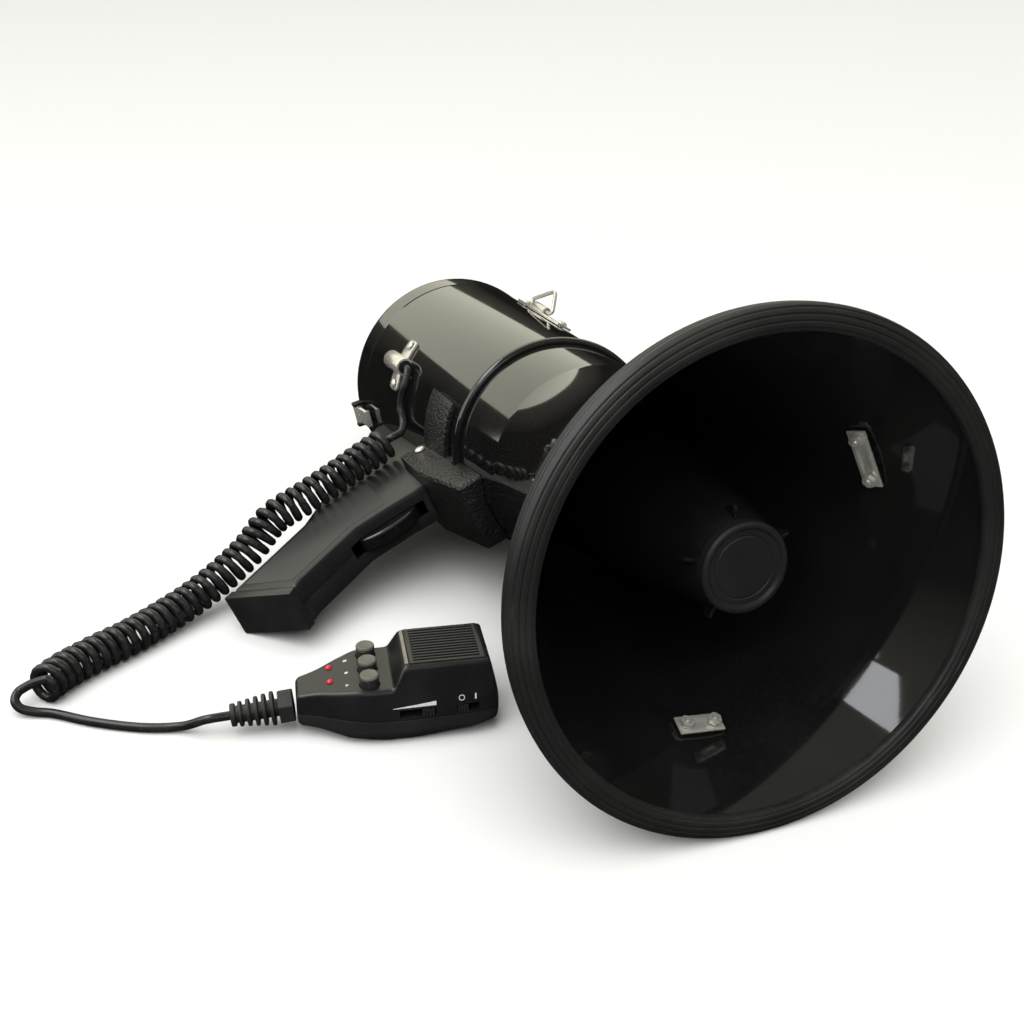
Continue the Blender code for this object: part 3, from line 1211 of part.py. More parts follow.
def make_sliders(parent, shell):
    """Volume slider and power switch in slots on the near side. Volume rests at full, power at off."""
    for name, place, slot, knob, end in (("volume", VOLUME_PLACE, VOLUME_SLOT, VOLUME_KNOB, 1),
                                         ("power", POWER_PLACE, POWER_SLOT, POWER_KNOB, -1)):
        skin = mic_half_width(place)
        along = place * MIC_LENGTH
        shift = end * ((slot - knob) / 2 - RUNNING_GAP)
        low = (along - slot / 2, -skin - SLIDER_PROUD, SLIDER_HEIGHT - SLOT_HEIGHT / 2)
        high = (along + slot / 2, -skin + SLIDER_DEPTH, SLIDER_HEIGHT + SLOT_HEIGHT / 2)
        cut(shell, box(f"{name}_slot", low, high, None, parent))
        axis = frame(f"{name}_axis", parent, moved(along + shift, -skin, SLIDER_HEIGHT))
        half = SLOT_HEIGHT / 2 - RUNNING_GAP
        box(f"{name}_slider", (-knob / 2, -SLIDER_PROUD, -half), (knob / 2, SLIDER_DEPTH, half),
            "button_grey", axis, round_edge=half / 4)


def make_talk_button(parent, shell):
    """Long push-to-talk bar on the far side."""
    skin = mic_half_width(TALK_PLACE)
    middle = (MIC_SPLIT + GAP / 2 + MIC_SHOULDER) / 2
    axis = frame("talk_axis", parent, moved(TALK_PLACE * MIC_LENGTH, skin, middle))
    half, tall = TALK_LENGTH / 2, TALK_HEIGHT / 2
    spare = RUNNING_GAP
    low = (-half - spare, -TALK_DEPTH, -tall - spare)
    cut(shell, box("talk_slot", low, (half + spare, TALK_PROUD, tall + spare), None, axis))
    box("talk_button", (-half, -TALK_DEPTH, -tall), (half, TALK_PROUD, tall), "mic_black", axis, round_edge=TALK_PROUD / 3)


def make_hang_button(parent, shell):
    """Mushroom button under the microphone, by which it hangs on the hook."""
    spot = moved(x=HANG_PLACE * MIC_LENGTH)
    low = HANG_CLEAR
    head = low + HANG_HEAD
    section = [
        (0.0, HANG_STEM_END), (HANG_STEM_RADIUS, HANG_STEM_END), (HANG_STEM_RADIUS, head), (HANG_HEAD_RADIUS, head),
        (HANG_HEAD_RADIUS, low + HANG_HEAD / 3), (HANG_HEAD_RADIUS * 0.85, low), (0.0, low),
    ]
    turned("hang_button", section, "nickel", parent, spot, SMALL_STEPS)
    cut(shell, rod("hang_hole", HANG_STEM_RADIUS + GAP, head, MIC_SPLIT, None, parent, spot))


def relief_frame():
    """+Z runs from the microphone's end face out along the cord."""
    droop = Matrix.Rotation(math.radians(-90.0 - RELIEF_DROOP), 4, "Y")
    return moved(z=RELIEF_HEIGHT) @ droop


def make_relief(parent):
    """Strain relief: a round nut and a ringed rubber sleeve that gets thinner."""
    nut_end = RELIEF_START + RELIEF_NUT_LENGTH
    tip = RELIEF_START + RELIEF_LENGTH
    pitch = (tip - nut_end) / (RELIEF_RINGS + 1)
    section = [(RELIEF_TIP_RADIUS, tip), (RELIEF_TIP_RADIUS, tip - pitch * 0.6), (RELIEF_CORE_RADIUS, tip - pitch * 0.6)]
    for i in range(RELIEF_RINGS):
        part = (i + 1) / RELIEF_RINGS
        radius = RELIEF_TIP_RADIUS + (RELIEF_RING_RADIUS - RELIEF_TIP_RADIUS) * part
        top = tip - pitch * (i + 1)
        low = top - pitch * 0.45
        section += [(RELIEF_CORE_RADIUS, top), (radius, top), (radius, low), (RELIEF_CORE_RADIUS, low)]
    section += [(RELIEF_CORE_RADIUS, nut_end), (RELIEF_NUT_RADIUS, nut_end), (RELIEF_NUT_RADIUS, RELIEF_START)]
    section = [(0.0, tip), *section, (0.0, RELIEF_START)]
    turned("mic_strain_relief", section, "rubber_black", parent, relief_frame(), SMALL_STEPS)


# ======================================================================================
# Curly cord
# ======================================================================================

def on_barrel(angle, station):
    """A place for the cord's middle on the barrel."""
    return wall_frame(barrel_radius, station, angle) @ Vector((0.0, 0.0, CORD_RADIUS + BENT_GAP))


def make_cord(parent):
    """Lead from the clamp, coil over the grip and along the surface, tail to the microphone."""
    body, mic = megaphone_stance(), mic_stance()
    side = -GRIP_HALF - COIL_RADIUS - COIL_GAP
    coil = [body @ Vector((side, station, -below)) for station, below in down(COIL_ON_GRIP)]
    coil += [Vector(point) for point in COIL_ON_FLOOR]
    coil_path = smooth_path(coil, CORD_SPACING)
    wire("cord_coil", coil_path, COIL_RADIUS, "cord_black", parent, resolution=3)
    arch = wall_frame(barrel_radius, CLAMP_STATION, CLAMP_ANGLE) @ moved(z=ARCH_HEIGHT)
    face = -ARCH_LENGTH / 2 + GLAND_SET_BACK - CORD_END
    start = coil_path[0] - coil_path[1]
    entry = coil_path[0] + start.normalized() * CORD_END
    lead = [body @ (arch @ Vector((0.0, face, 0.0))), body @ (arch @ Vector((0.0, face - 2 * CORD_RADIUS, 0.0)))]
    lead += [body @ on_barrel(angle, station) for angle, station in LEAD_ROUND_BARREL]
    lead += [entry + start.normalized() * 2 * CORD_RADIUS, entry]
    wire("cord_lead", smooth_path(lead, CORD_SPACING), CORD_RADIUS, "cord_black", parent)
    run = (coil_path[-1] - coil_path[-2]).normalized()
    beside = Vector((0.0, 0.0, 1.0)).cross(run).normalized() * -COIL_WINDING
    relief = mic @ relief_frame()
    far = RELIEF_START + RELIEF_LENGTH + CORD_END
    tail = [coil_path[-1] + run * CORD_END + beside]
    tail += [Vector(point) for point in TAIL_TURN]
    tail += [relief @ Vector((0.0, 0.0, far + 5 * CORD_RADIUS)), relief @ Vector((0.0, 0.0, far))]
    wire("cord_tail", smooth_path(tail, CORD_SPACING), CORD_RADIUS, "cord_black", parent)


# ======================================================================================
# The set
# ======================================================================================

def build():
    surface = frame("surface", None, moved(-SET_MIDDLE[0], -SET_MIDDLE[1]))
    body = frame("megaphone", surface, megaphone_stance())
    bell = make_bell(body)
    make_rim_guard(body)
    make_ring(body)
    make_reflector(body)
    make_reflector_cap(body)
    make_throat(body)
    make_driver(body)
    make_front_strap(body, bell)
    make_hook(body, bell)
    barrel = make_barrel(body)
    make_rear_cap(body)
    make_batteries(body)
    make_board(body)
    make_rear_strap(body, barrel)
    make_clamp(body, barrel)
    make_bracket(body)
    make_grip(body)
    make_mic(frame("microphone", surface, mic_stance()))
    make_cord(surface)


clear_scene()
PARTS = make_collection("handheld_megaphone")
CUTTERS = make_collection("cutters")
CUTTERS.hide_render = True
build()
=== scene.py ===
"""Handheld megaphone with its wired hand microphone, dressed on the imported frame.

Units are metres and +Z is up. The megaphone has a frame of its own, in which +Y runs from the mouth
to the rear and -Z points down the grip. Places along +Y are called stations. The microphone's frame
has +X from its cable end to its head and +Z out of its face.
"""

import logging
import math
from dataclasses import dataclass
from enum import Enum
from functools import cache
from typing import Callable, Sequence

import bmesh
import bpy
from mathutils import Euler, Matrix, Vector
from mathutils.bvhtree import BVHTree


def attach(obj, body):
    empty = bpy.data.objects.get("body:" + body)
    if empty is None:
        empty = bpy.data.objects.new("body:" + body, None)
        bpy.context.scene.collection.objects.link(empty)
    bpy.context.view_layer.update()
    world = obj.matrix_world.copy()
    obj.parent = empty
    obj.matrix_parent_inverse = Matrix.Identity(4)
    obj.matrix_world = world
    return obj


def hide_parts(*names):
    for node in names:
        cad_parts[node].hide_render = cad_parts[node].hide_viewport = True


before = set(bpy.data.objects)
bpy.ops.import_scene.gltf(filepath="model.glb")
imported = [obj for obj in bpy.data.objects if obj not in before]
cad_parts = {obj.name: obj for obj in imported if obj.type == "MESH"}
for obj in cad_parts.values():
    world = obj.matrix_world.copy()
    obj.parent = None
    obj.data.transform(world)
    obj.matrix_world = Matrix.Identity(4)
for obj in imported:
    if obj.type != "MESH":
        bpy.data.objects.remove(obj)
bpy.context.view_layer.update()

LOG = logging.getLogger("megaphone")

Colour = tuple[float, float, float]
Pair = tuple[float, float]
Place = tuple[float, float, float]
Tree = bpy.types.NodeTree
Socket = bpy.types.NodeSocket

GAP = 0.0003
RUNNING_GAP = 0.0004
BENT_GAP = 0.0006
LARGE_STEPS = 160
SMALL_STEPS = 48


class Body(Enum):
    """The bodies that pieces ride on."""

    MEGAPHONE = "megaphone"
    REAR_CAP = "rear_cap"
    TRIGGER = "trigger"
    FRONT_LOOP = "front_loop"
    REAR_LOOP = "rear_loop"
    VOLUME = "volume_knob"
    POWER = "power_knob"
    KEY_1 = "key_1"
    KEY_2 = "key_2"
    KEY_3 = "key_3"


class Slot(Enum):
    """The record's material slots."""

    GLOSS = "gloss_black"
    SATIN = "satin_black"
    CRINKLE = "crinkle_black"
    RUBBER = "rubber_black"
    CORD = "cord_black"
    MIC = "mic_black"
    BUTTON = "button_grey"
    LAMP = "lamp_red"
    NICKEL = "nickel"
    STEEL = "steel"
    FERRITE = "ferrite"
    BOARD = "board_green"
    CELL = "cell_label"
    CARRIER = "carrier_grey"


# ======================================================================================
# Finishes
# ======================================================================================


class Effects:
    """Shader groups that the finishes share. Each is built once."""

    @staticmethod
    def start(name: str, inputs: Sequence[str], output: str) -> tuple[Tree, bpy.types.Node, bpy.types.Node]:
        """Begin a group with a vector input, float inputs and one float output.

        Args:
            name: the group's name.
            inputs: names of its float inputs.
            output: name of its output.

        Returns:
            The tree, its input node and its output node.
        """
        tree = bpy.data.node_groups.new(name, "ShaderNodeTree")
        tree.interface.new_socket("Vector", in_out="INPUT", socket_type="NodeSocketVector")
        for label in inputs:
            tree.interface.new_socket(label, in_out="INPUT", socket_type="NodeSocketFloat")
        tree.interface.new_socket(output, in_out="OUTPUT", socket_type="NodeSocketFloat")
        return tree, tree.nodes.new("NodeGroupInput"), tree.nodes.new("NodeGroupOutput")

    @staticmethod
    def noise(tree: Tree, vector: Socket, scale: Socket, detail: float) -> Socket:
        """A noise texture.

        Args:
            tree: the tree to add it to.
            vector: where it is read.
            scale: its scale.
            detail: its octaves.

        Returns:
            Its value.
        """
        node = tree.nodes.new("ShaderNodeTexNoise")
        node.inputs["Detail"].default_value = detail
        tree.links.new(vector, node.inputs["Vector"])
        tree.links.new(scale, node.inputs["Scale"])
        return node.outputs["Fac"]

    @staticmethod
    def window(tree: Tree, value: Socket, low: float, high: float) -> Socket:
        """The value spread from 0 at `low` to 1 at `high`.

        Args:
            tree: the tree to add it to.
            value: what is spread.
            low: becomes 0.
            high: becomes 1.

        Returns:
            The spread value.
        """
        node = tree.nodes.new("ShaderNodeMapRange")
        node.inputs["From Min"].default_value = low
        node.inputs["From Max"].default_value = high
        tree.links.new(value, node.inputs["Value"])
        return node.outputs["Result"]

    @staticmethod
    def times(tree: Tree, one: Socket, other: Socket) -> Socket:
        """The product of two values.

        Args:
            tree: the tree to add it to.
            one: the first value.
            other: the second value.

        Returns:
            The product.
        """
        node = tree.nodes.new("ShaderNodeMath")
        node.operation = "MULTIPLY"
        tree.links.new(one, node.inputs[0])
        tree.links.new(other, node.inputs[1])
        return node.outputs[0]

    @classmethod
    @cache
    def grain(cls) -> Tree:
        """Moulded or painted grain, as a height.

        Returns:
            The group.
        """
        tree, given, made = cls.start("surface_grain", ("Size",), "Height")
        fine = cls.noise(tree, given.outputs["Vector"], given.outputs["Size"], 4.0)
        cells = tree.nodes.new("ShaderNodeTexVoronoi")
        tree.links.new(given.outputs["Vector"], cells.inputs["Vector"])
        tree.links.new(given.outputs["Size"], cells.inputs["Scale"])
        both = cls.times(tree, fine, cells.outputs["Distance"])
        tree.links.new(both, made.inputs["Height"])
        return tree

    @classmethod
    @cache
    def marks(cls) -> Tree:
        """Smudges from handling, as a mask.

        Returns:
            The group.
        """
        tree, given, made = cls.start("handling_marks", ("Size", "Amount"), "Mask")
        cloud = cls.noise(tree, given.outputs["Vector"], given.outputs["Size"], 6.0)
        smudges = cls.window(tree, cloud, 0.42, 0.72)
        tree.links.new(cls.times(tree, smudges, given.outputs["Amount"]), made.inputs["Mask"])
        return tree

    @classmethod
    @cache
    def dust(cls) -> Tree:
        """Dust that has settled on what faces up, as a mask.

        Returns:
            The group.
        """
        tree, given, made = cls.start("settled_dust", ("Size", "Amount"), "Mask")
        split = tree.nodes.new("ShaderNodeSeparateXYZ")
        tree.links.new(tree.nodes.new("ShaderNodeNewGeometry").outputs["Normal"], split.inputs[0])
        upward = cls.window(tree, split.outputs["Z"], 0.1, 1.0)
        cloud = cls.noise(tree, given.outputs["Vector"], given.outputs["Size"], 8.0)
        specks = cls.window(tree, cloud, 0.5, 0.8)
        both = cls.times(tree, cls.times(tree, upward, specks), given.outputs["Amount"])
        tree.links.new(both, made.inputs["Mask"])
        return tree

    @classmethod
    @cache
    def edges(cls) -> Tree:
        """Wear along edges, as a mask.

        Returns:
            The group.
        """
        tree, given, made = cls.start("edge_wear", ("Size", "Amount"), "Mask")
        point = tree.nodes.new("ShaderNodeNewGeometry").outputs["Pointiness"]
        cloud = cls.noise(tree, given.outputs["Vector"], given.outputs["Size"], 5.0)
        broken = cls.window(tree, cloud, 0.35, 0.65)
        rubbed = cls.times(tree, cls.window(tree, point, 0.52, 0.62), broken)
        tree.links.new(cls.times(tree, rubbed, given.outputs["Amount"]), made.inputs["Mask"])
        return tree


@dataclass(frozen=True)
class Finish:
    """A procedural finish: colour, marks, dust, worn edges and grain. Sizes of texture count per metre."""

    label: str
    colour: Colour
    marked: Colour
    clean: float
    smudged: float
    metallic: float = 0.0
    coat: float = 0.0
    dust: Colour = (0.10, 0.095, 0.085)
    bare: Colour = (0.08, 0.08, 0.08)
    marks_size: float = 28.0
    marks_amount: float = 0.6
    dust_amount: float = 0.06
    edge_amount: float = 0.3
    grain_size: float = 1400.0
    grain_depth: float = 0.00002
    dust_fineness: float = 22.0
    edge_fineness: float = 5.0
    stretch: Place = (1.0, 1.0, 1.0)

    @staticmethod
    def effect(tree: Tree, group: Tree, where: Socket, size: float, amount: float | None = None) -> Socket:
        """Place a shared effect in a material.

        Args:
            tree: the material's nodes.
            group: the effect.
            where: the coordinates it reads.
            size: its size, per metre.
            amount: its strength, where it has one.

        Returns:
            The effect's output.
        """
        node = tree.nodes.new("ShaderNodeGroup")
        node.node_tree = group
        tree.links.new(where, node.inputs["Vector"])
        node.inputs["Size"].default_value = size
        if amount is not None:
            node.inputs["Amount"].default_value = amount
        return node.outputs[0]

    @staticmethod
    def blend(tree: Tree, mask: Socket, below: Socket | Colour, above: Colour) -> Socket:
        """Lay one colour over another through a mask.

        Args:
            tree: the material's nodes.
            mask: where the upper colour shows.
            below: the lower colour.
            above: the upper colour.

        Returns:
            The mixed colour.
        """
        node = tree.nodes.new("ShaderNodeMix")
        node.data_type = "RGBA"
        tree.links.new(mask, node.inputs["Factor"])
        if isinstance(below, tuple):
            node.inputs[6].default_value = (*below, 1.0)
        else:
            tree.links.new(below, node.inputs[6])
        node.inputs[7].default_value = (*above, 1.0)
        return node.outputs[2]

    @cache
    def material(self) -> bpy.types.Material:
        """The finish as a material, made once.

        Returns:
            The material.
        """
        material = bpy.data.materials.new(self.label)
        material.use_nodes = True
        tree = material.node_tree
        shader = tree.nodes["Principled BSDF"]
        where = tree.nodes.new("ShaderNodeTexCoord").outputs["Object"]
        size = self.marks_size
        marks = self.effect(tree, Effects.marks(), where, size, self.marks_amount)
        dust = self.effect(tree, Effects.dust(), where, size * self.dust_fineness, self.dust_amount)
        edges = self.effect(tree, Effects.edges(), where, size * self.edge_fineness, self.edge_amount)
        colour = self.blend(tree, marks, self.colour, self.marked)
        colour = self.blend(tree, dust, colour, self.dust)
        colour = self.blend(tree, edges, colour, self.bare)
        tree.links.new(colour, shader.inputs["Base Color"])
        spread = tree.nodes.new("ShaderNodeMapRange")
        spread.inputs["To Min"].default_value = self.clean
        spread.inputs["To Max"].default_value = self.smudged
        tree.links.new(marks, spread.inputs["Value"])
        tree.links.new(spread.outputs["Result"], shader.inputs["Roughness"])
        shader.inputs["Metallic"].default_value = self.metallic
        shader.inputs["Coat Weight"].default_value = self.coat
        mapping = tree.nodes.new("ShaderNodeMapping")
        mapping.inputs["Scale"].default_value = self.stretch
        tree.links.new(where, mapping.inputs["Vector"])
        bump = tree.nodes.new("ShaderNodeBump")
        bump.inputs["Distance"].default_value = self.grain_depth
        grain = self.effect(tree, Effects.grain(), mapping.outputs["Vector"], self.grain_size)
        tree.links.new(grain, bump.inputs["Height"])
        tree.links.new(bump.outputs["Normal"], shader.inputs["Normal"])
        return material


GLOSS_PAINT = Finish("gloss_paint", (0.0045, 0.0045, 0.0047), (0.009, 0.009, 0.0088), 0.055, 0.13, coat=0.6,
                     marks_amount=0.45, dust_amount=0.05, edge_amount=0.12, grain_size=420.0,
                     grain_depth=0.000006)
SATIN_PLASTIC = Finish("satin_plastic", (0.010, 0.010, 0.0105), (0.017, 0.017, 0.017), 0.34, 0.48,
                       grain_size=2600.0, grain_depth=0.00003)
PANEL_PLASTIC = Finish("panel_plastic", (0.028, 0.028, 0.029), (0.040, 0.040, 0.040), 0.42, 0.55,
                       grain_size=2400.0, grain_depth=0.00004, dust_amount=0.15)
CRINKLE_PAINT = Finish("crinkle_paint", (0.0065, 0.0065, 0.0065), (0.012, 0.012, 0.012), 0.28, 0.42,
                       grain_size=620.0, grain_depth=0.0011, edge_amount=0.2)
RIM_RUBBER = Finish("rim_rubber", (0.011, 0.011, 0.011), (0.022, 0.022, 0.021), 0.40, 0.60,
                    grain_size=1800.0, grain_depth=0.00005, dust_amount=0.18)
CORD_SHEATH = Finish("cord_sheath", (0.0075, 0.0075, 0.0078), (0.014, 0.014, 0.014), 0.22, 0.34,
                     grain_size=2200.0, grain_depth=0.00002, marks_size=60.0)
MIC_PLASTIC = Finish("mic_plastic", (0.0085, 0.0085, 0.009), (0.015, 0.015, 0.0152), 0.27, 0.42,
                     grain_size=3200.0, grain_depth=0.00003, marks_size=45.0)
MIC_BACK_PLASTIC = Finish("mic_back_plastic", (0.013, 0.013, 0.0135), (0.021, 0.021, 0.021), 0.45, 0.60,
                          grain_size=2600.0, grain_depth=0.00006, marks_size=45.0)
KEY_PLASTIC = Finish("key_plastic", (0.125, 0.115, 0.095), (0.085, 0.080, 0.070), 0.40, 0.55,
                     grain_size=2600.0, grain_depth=0.00004, marks_size=180.0, bare=(0.20, 0.19, 0.16))
KNOB_PLASTIC = Finish("knob_plastic", (0.012, 0.012, 0.012), (0.020, 0.020, 0.020), 0.35, 0.50,
                      grain_size=2600.0, grain_depth=0.00004, marks_size=120.0)
FELT_STRIP = Finish("felt_strip", (0.30, 0.27, 0.20), (0.20, 0.18, 0.14), 0.85, 0.95,
                    grain_size=3400.0, grain_depth=0.0003, marks_size=220.0)
LAMP_LENS = Finish("lamp_lens", (0.62, 0.010, 0.020), (0.40, 0.008, 0.012), 0.08, 0.16, coat=0.8,
                   grain_size=900.0, grain_depth=0.00001, marks_size=400.0, dust_amount=0.02)
PRINT_PAINT = Finish("print_paint", (0.62, 0.62, 0.60), (0.42, 0.42, 0.41), 0.45, 0.60,
                     grain_size=4200.0, grain_depth=0.00002, marks_size=600.0, edge_amount=0.0)
NICKEL_PLATE = Finish("nickel_plate", (0.74, 0.72, 0.66), (0.56, 0.54, 0.49), 0.22, 0.38, metallic=0.72,
                      bare=(0.72, 0.70, 0.66), grain_size=700.0, grain_depth=0.00003, marks_size=120.0,
                      stretch=(1.0, 0.12, 1.0))
MACHINED_STEEL = Finish("machined_steel", (0.40, 0.40, 0.41), (0.28, 0.28, 0.29), 0.28, 0.42, metallic=1.0,
                        bare=(0.55, 0.55, 0.55), marks_size=120.0, stretch=(1.0, 0.08, 1.0))
FERRITE_BLOCK = Finish("ferrite_block", (0.045, 0.043, 0.042), (0.070, 0.066, 0.062), 0.60, 0.80,
                       grain_size=900.0, grain_depth=0.00012)
SOLDER_MASK = Finish("solder_mask", (0.020, 0.120, 0.050), (0.035, 0.160, 0.075), 0.30, 0.45, coat=0.3,
                     grain_size=700.0, grain_depth=0.00006, marks_size=160.0)
CELL_FILM = Finish("cell_film", (0.080, 0.180, 0.340), (0.130, 0.240, 0.400), 0.25, 0.40, metallic=0.2,
                   bare=(0.5, 0.5, 0.5), marks_size=60.0)
CARRIER_PLASTIC = Finish("carrier_plastic", (0.130, 0.130, 0.134), (0.180, 0.180, 0.180), 0.45, 0.60,
                         grain_size=1600.0, grain_depth=0.00005)

DRESS: dict[Slot, Finish] = {
    Slot.GLOSS: GLOSS_PAINT, Slot.SATIN: SATIN_PLASTIC, Slot.CRINKLE: CRINKLE_PAINT, Slot.RUBBER: RIM_RUBBER,
    Slot.CORD: CORD_SHEATH, Slot.MIC: MIC_PLASTIC, Slot.BUTTON: KNOB_PLASTIC, Slot.LAMP: LAMP_LENS,
    Slot.NICKEL: NICKEL_PLATE, Slot.STEEL: MACHINED_STEEL, Slot.FERRITE: FERRITE_BLOCK, Slot.BOARD: SOLDER_MASK,
    Slot.CELL: CELL_FILM, Slot.CARRIER: CARRIER_PLASTIC,
}


# ======================================================================================
# Shaping
# ======================================================================================

UPRIGHT = Matrix.Rotation(math.radians(90.0), 4, "X")
SIDE_VIEW = Matrix(((0.0, 0.0, -1.0), (1.0, 0.0, 0.0), (0.0, -1.0, 0.0))).to_4x4()
CROSS_VIEW = Matrix(((0.0, 0.0, 1.0), (1.0, 0.0, 0.0), (0.0, 1.0, 0.0))).to_4x4()


def moved(x: float = 0.0, y: float = 0.0, z: float = 0.0) -> Matrix:
    """A shift."""
    return Matrix.Translation((x, y, z))


def dome(base: float, height: float, radius: float) -> list[Pair]:
    """Half the section of a dome, from its top to its rim, as (height, radius) pairs."""
    turns = [math.radians(90.0) * i / 8 for i in range(9)]
    return [(base + height * math.cos(t), radius * math.sin(t)) for t in turns]


def hexagon(radius: float) -> list[Pair]:
    """A hexagon by the radius to its corners."""
    return [(radius * math.cos(math.tau * i / 6), radius * math.sin(math.tau * i / 6)) for i in range(6)]


def eased(corners: Sequence[Pair], cut: float | Sequence[float], steps: int = 5,
          closed: bool = True) -> list[Pair]:
    """Round the corners of an outline.

    Args:
        corners: the outline's corners in order.
        cut: how far each corner is cut back, for all or one for each.
        steps: pieces of each rounded corner.
        closed: whether the outline closes on itself.

    Returns:
        The rounded outline, with steps + 1 points at each corner.
    """
    count = len(corners)
    cuts = [cut] * count if isinstance(cut, float) else list(cut)
    places = [Vector(corner) for corner in corners]
    made: list[Pair] = []
    for i, here in enumerate(places):
        if not closed and i in (0, count - 1):
            made.append(tuple(here))
            continue
        before, after = places[i - 1] - here, places[(i + 1) % count] - here
        start = here + before.normalized() * min(cuts[i], before.length * 0.46)
        end = here + after.normalized() * min(cuts[i], after.length * 0.46)
        for step in range(steps + 1):
            t = step / steps
            made.append(tuple(start * (1 - t) ** 2 + here * 2 * t * (1 - t) + end * t ** 2))
    return made


def inset(outline: Sequence[Pair], distance: float) -> list[Pair]:
    """The outline moved inwards.

    Args:
        outline: its corners in order.
        distance: how far it moves.

    Returns:
        The new corners.
    """
    points = [Vector(point) for point in outline]
    area = sum(a.x * b.y - b.x * a.y for a, b in zip(points, points[1:] + points[:1]))
    turn = 1.0 if area > 0 else -1.0
    made: list[Pair] = []
    for i, here in enumerate(points):
        before = (here - points[i - 1]).normalized()
        after = (points[(i + 1) % len(points)] - here).normalized()
        side = Vector((-after.y, after.x)) * turn
        mitre = (Vector((-before.y, before.x)) * turn + side).normalized()
        made.append(tuple(here + mitre * distance / max(0.35, mitre.dot(side))))
    return made


def smooth_path(route: Sequence[Vector], spacing: float) -> list[Vector]:
    """Points on a smooth curve through a route.

    Args:
        route: the points it passes through.
        spacing: about how far apart the new points are.

    Returns:
        The new points.
    """
    ends = [2 * route[0] - route[1], *route, 2 * route[-1] - route[-2]]
    path = [route[0].copy()]
    for a, b, c, d in zip(ends, ends[1:], ends[2:], ends[3:]):
        count = max(1, round((c - b).length / spacing))
        for step in range(1, count + 1):
            t = step / count
            bend = (2 * a - 5 * b + 4 * c - d) * t ** 2 + (3 * b - a - 3 * c + d) * t ** 3
            path.append(0.5 * (2 * b + (c - a) * t + bend))
    return path


def from_bmesh(name: str, bm: bmesh.types.BMesh, crease: float = 32.0) -> bpy.types.Mesh:
    """Close a bmesh into a smooth-shaded mesh.

    Args:
        name: the mesh's name.
        bm: the shape, which is freed.
        crease: edges sharper than this many degrees stay sharp.

    Returns:
        The mesh.
    """
    bmesh.ops.recalc_face_normals(bm, faces=bm.faces)
    mesh = bpy.data.meshes.new(name)
    bm.to_mesh(mesh)
    bm.free()
    mesh.shade_smooth()
    mesh.set_sharp_from_angle(angle=math.radians(crease))
    return mesh


def bridge(bm: bmesh.types.BMesh, near: Sequence[bmesh.types.BMVert],
           far: Sequence[bmesh.types.BMVert]) -> None:
    """Join two rings of points with faces.

    Args:
        bm: the shape.
        near: one ring, or a single point.
        far: the other.
    """
    count = max(len(near), len(far))
    for i in range(count):
        j = (i + 1) % count
        corners = [near[i % len(near)], near[j % len(near)], far[j % len(far)], far[i % len(far)]]
        face = list(dict.fromkeys(corners))
        if len(face) > 2:
            bm.faces.new(face)


def lathe(name: str, section: Sequence[Pair], steps: int = LARGE_STEPS, crease: float = 32.0) -> bpy.types.Mesh:
    """A turned shape round +Y.

    Args:
        name: the mesh's name.
        section: (station, radius) pairs round the closed section.
        steps: facets round it.
        crease: edges sharper than this many degrees stay sharp.

    Returns:
        The mesh.
    """
    bm = bmesh.new()
    turns = [math.tau * i / steps for i in range(steps)]
    rings = []
    for station, radius in section:
        if radius < 1e-7:
            rings.append([bm.verts.new((0.0, station, 0.0))])
        else:
            ring = [(radius * math.sin(t), station, radius * math.cos(t)) for t in turns]
            rings.append([bm.verts.new(point) for point in ring])
    for near, far in zip(rings, rings[1:] + rings[:1]):
        bridge(bm, near, far)
    return from_bmesh(name, bm, crease)


def loft(name: str, rings: Sequence[Sequence[Place]]) -> bpy.types.Mesh:
    """A solid through rings of points, flat at both ends.

    Args:
        name: the mesh's name.
        rings: the rings, with as many points in each.

    Returns:
        The mesh.
    """
    bm = bmesh.new()
    rows = [[bm.verts.new(point) for point in ring] for ring in rings]
    for near, far in zip(rows, rows[1:]):
        bridge(bm, near, far)
    bm.faces.new(rows[0])
    bm.faces.new(list(reversed(rows[-1])))
    bmesh.ops.remove_doubles(bm, verts=bm.verts, dist=1e-6)
    return from_bmesh(name, bm, 38.0)


def plate(name: str, outline: Sequence[Pair], thickness: float, rounding: float) -> bpy.types.Mesh:
    """A flat piece in XY with rounded edges.

    Args:
        name: the mesh's name.
        outline: its outline.
        thickness: its thickness, even to both sides.
        rounding: the radius of its edges.

    Returns:
        The mesh.
    """
    curve = bpy.data.curves.new(name, "CURVE")
    curve.dimensions = "2D"
    curve.fill_mode = "BOTH"
    curve.bevel_depth = rounding
    curve.bevel_resolution = 3
    curve.offset = -rounding
    curve.extrude = thickness / 2 - rounding
    spline = curve.splines.new("POLY")
    spline.points.add(len(outline) - 1)
    for point, (x, y) in zip(spline.points, outline):
        point.co = (x, y, 0.0, 1.0)
    spline.use_cyclic_u = True
    holder = bpy.data.objects.new(name, curve)
    bpy.context.scene.collection.objects.link(holder)
    graph = bpy.context.evaluated_depsgraph_get()
    raw = bpy.data.meshes.new_from_object(holder.evaluated_get(graph))
    bpy.data.objects.remove(holder, do_unlink=True)
    bm = bmesh.new()
    bm.from_mesh(raw)
    bmesh.ops.remove_doubles(bm, verts=bm.verts, dist=2e-6)
    bpy.data.meshes.remove(raw)
    return from_bmesh(name, bm)


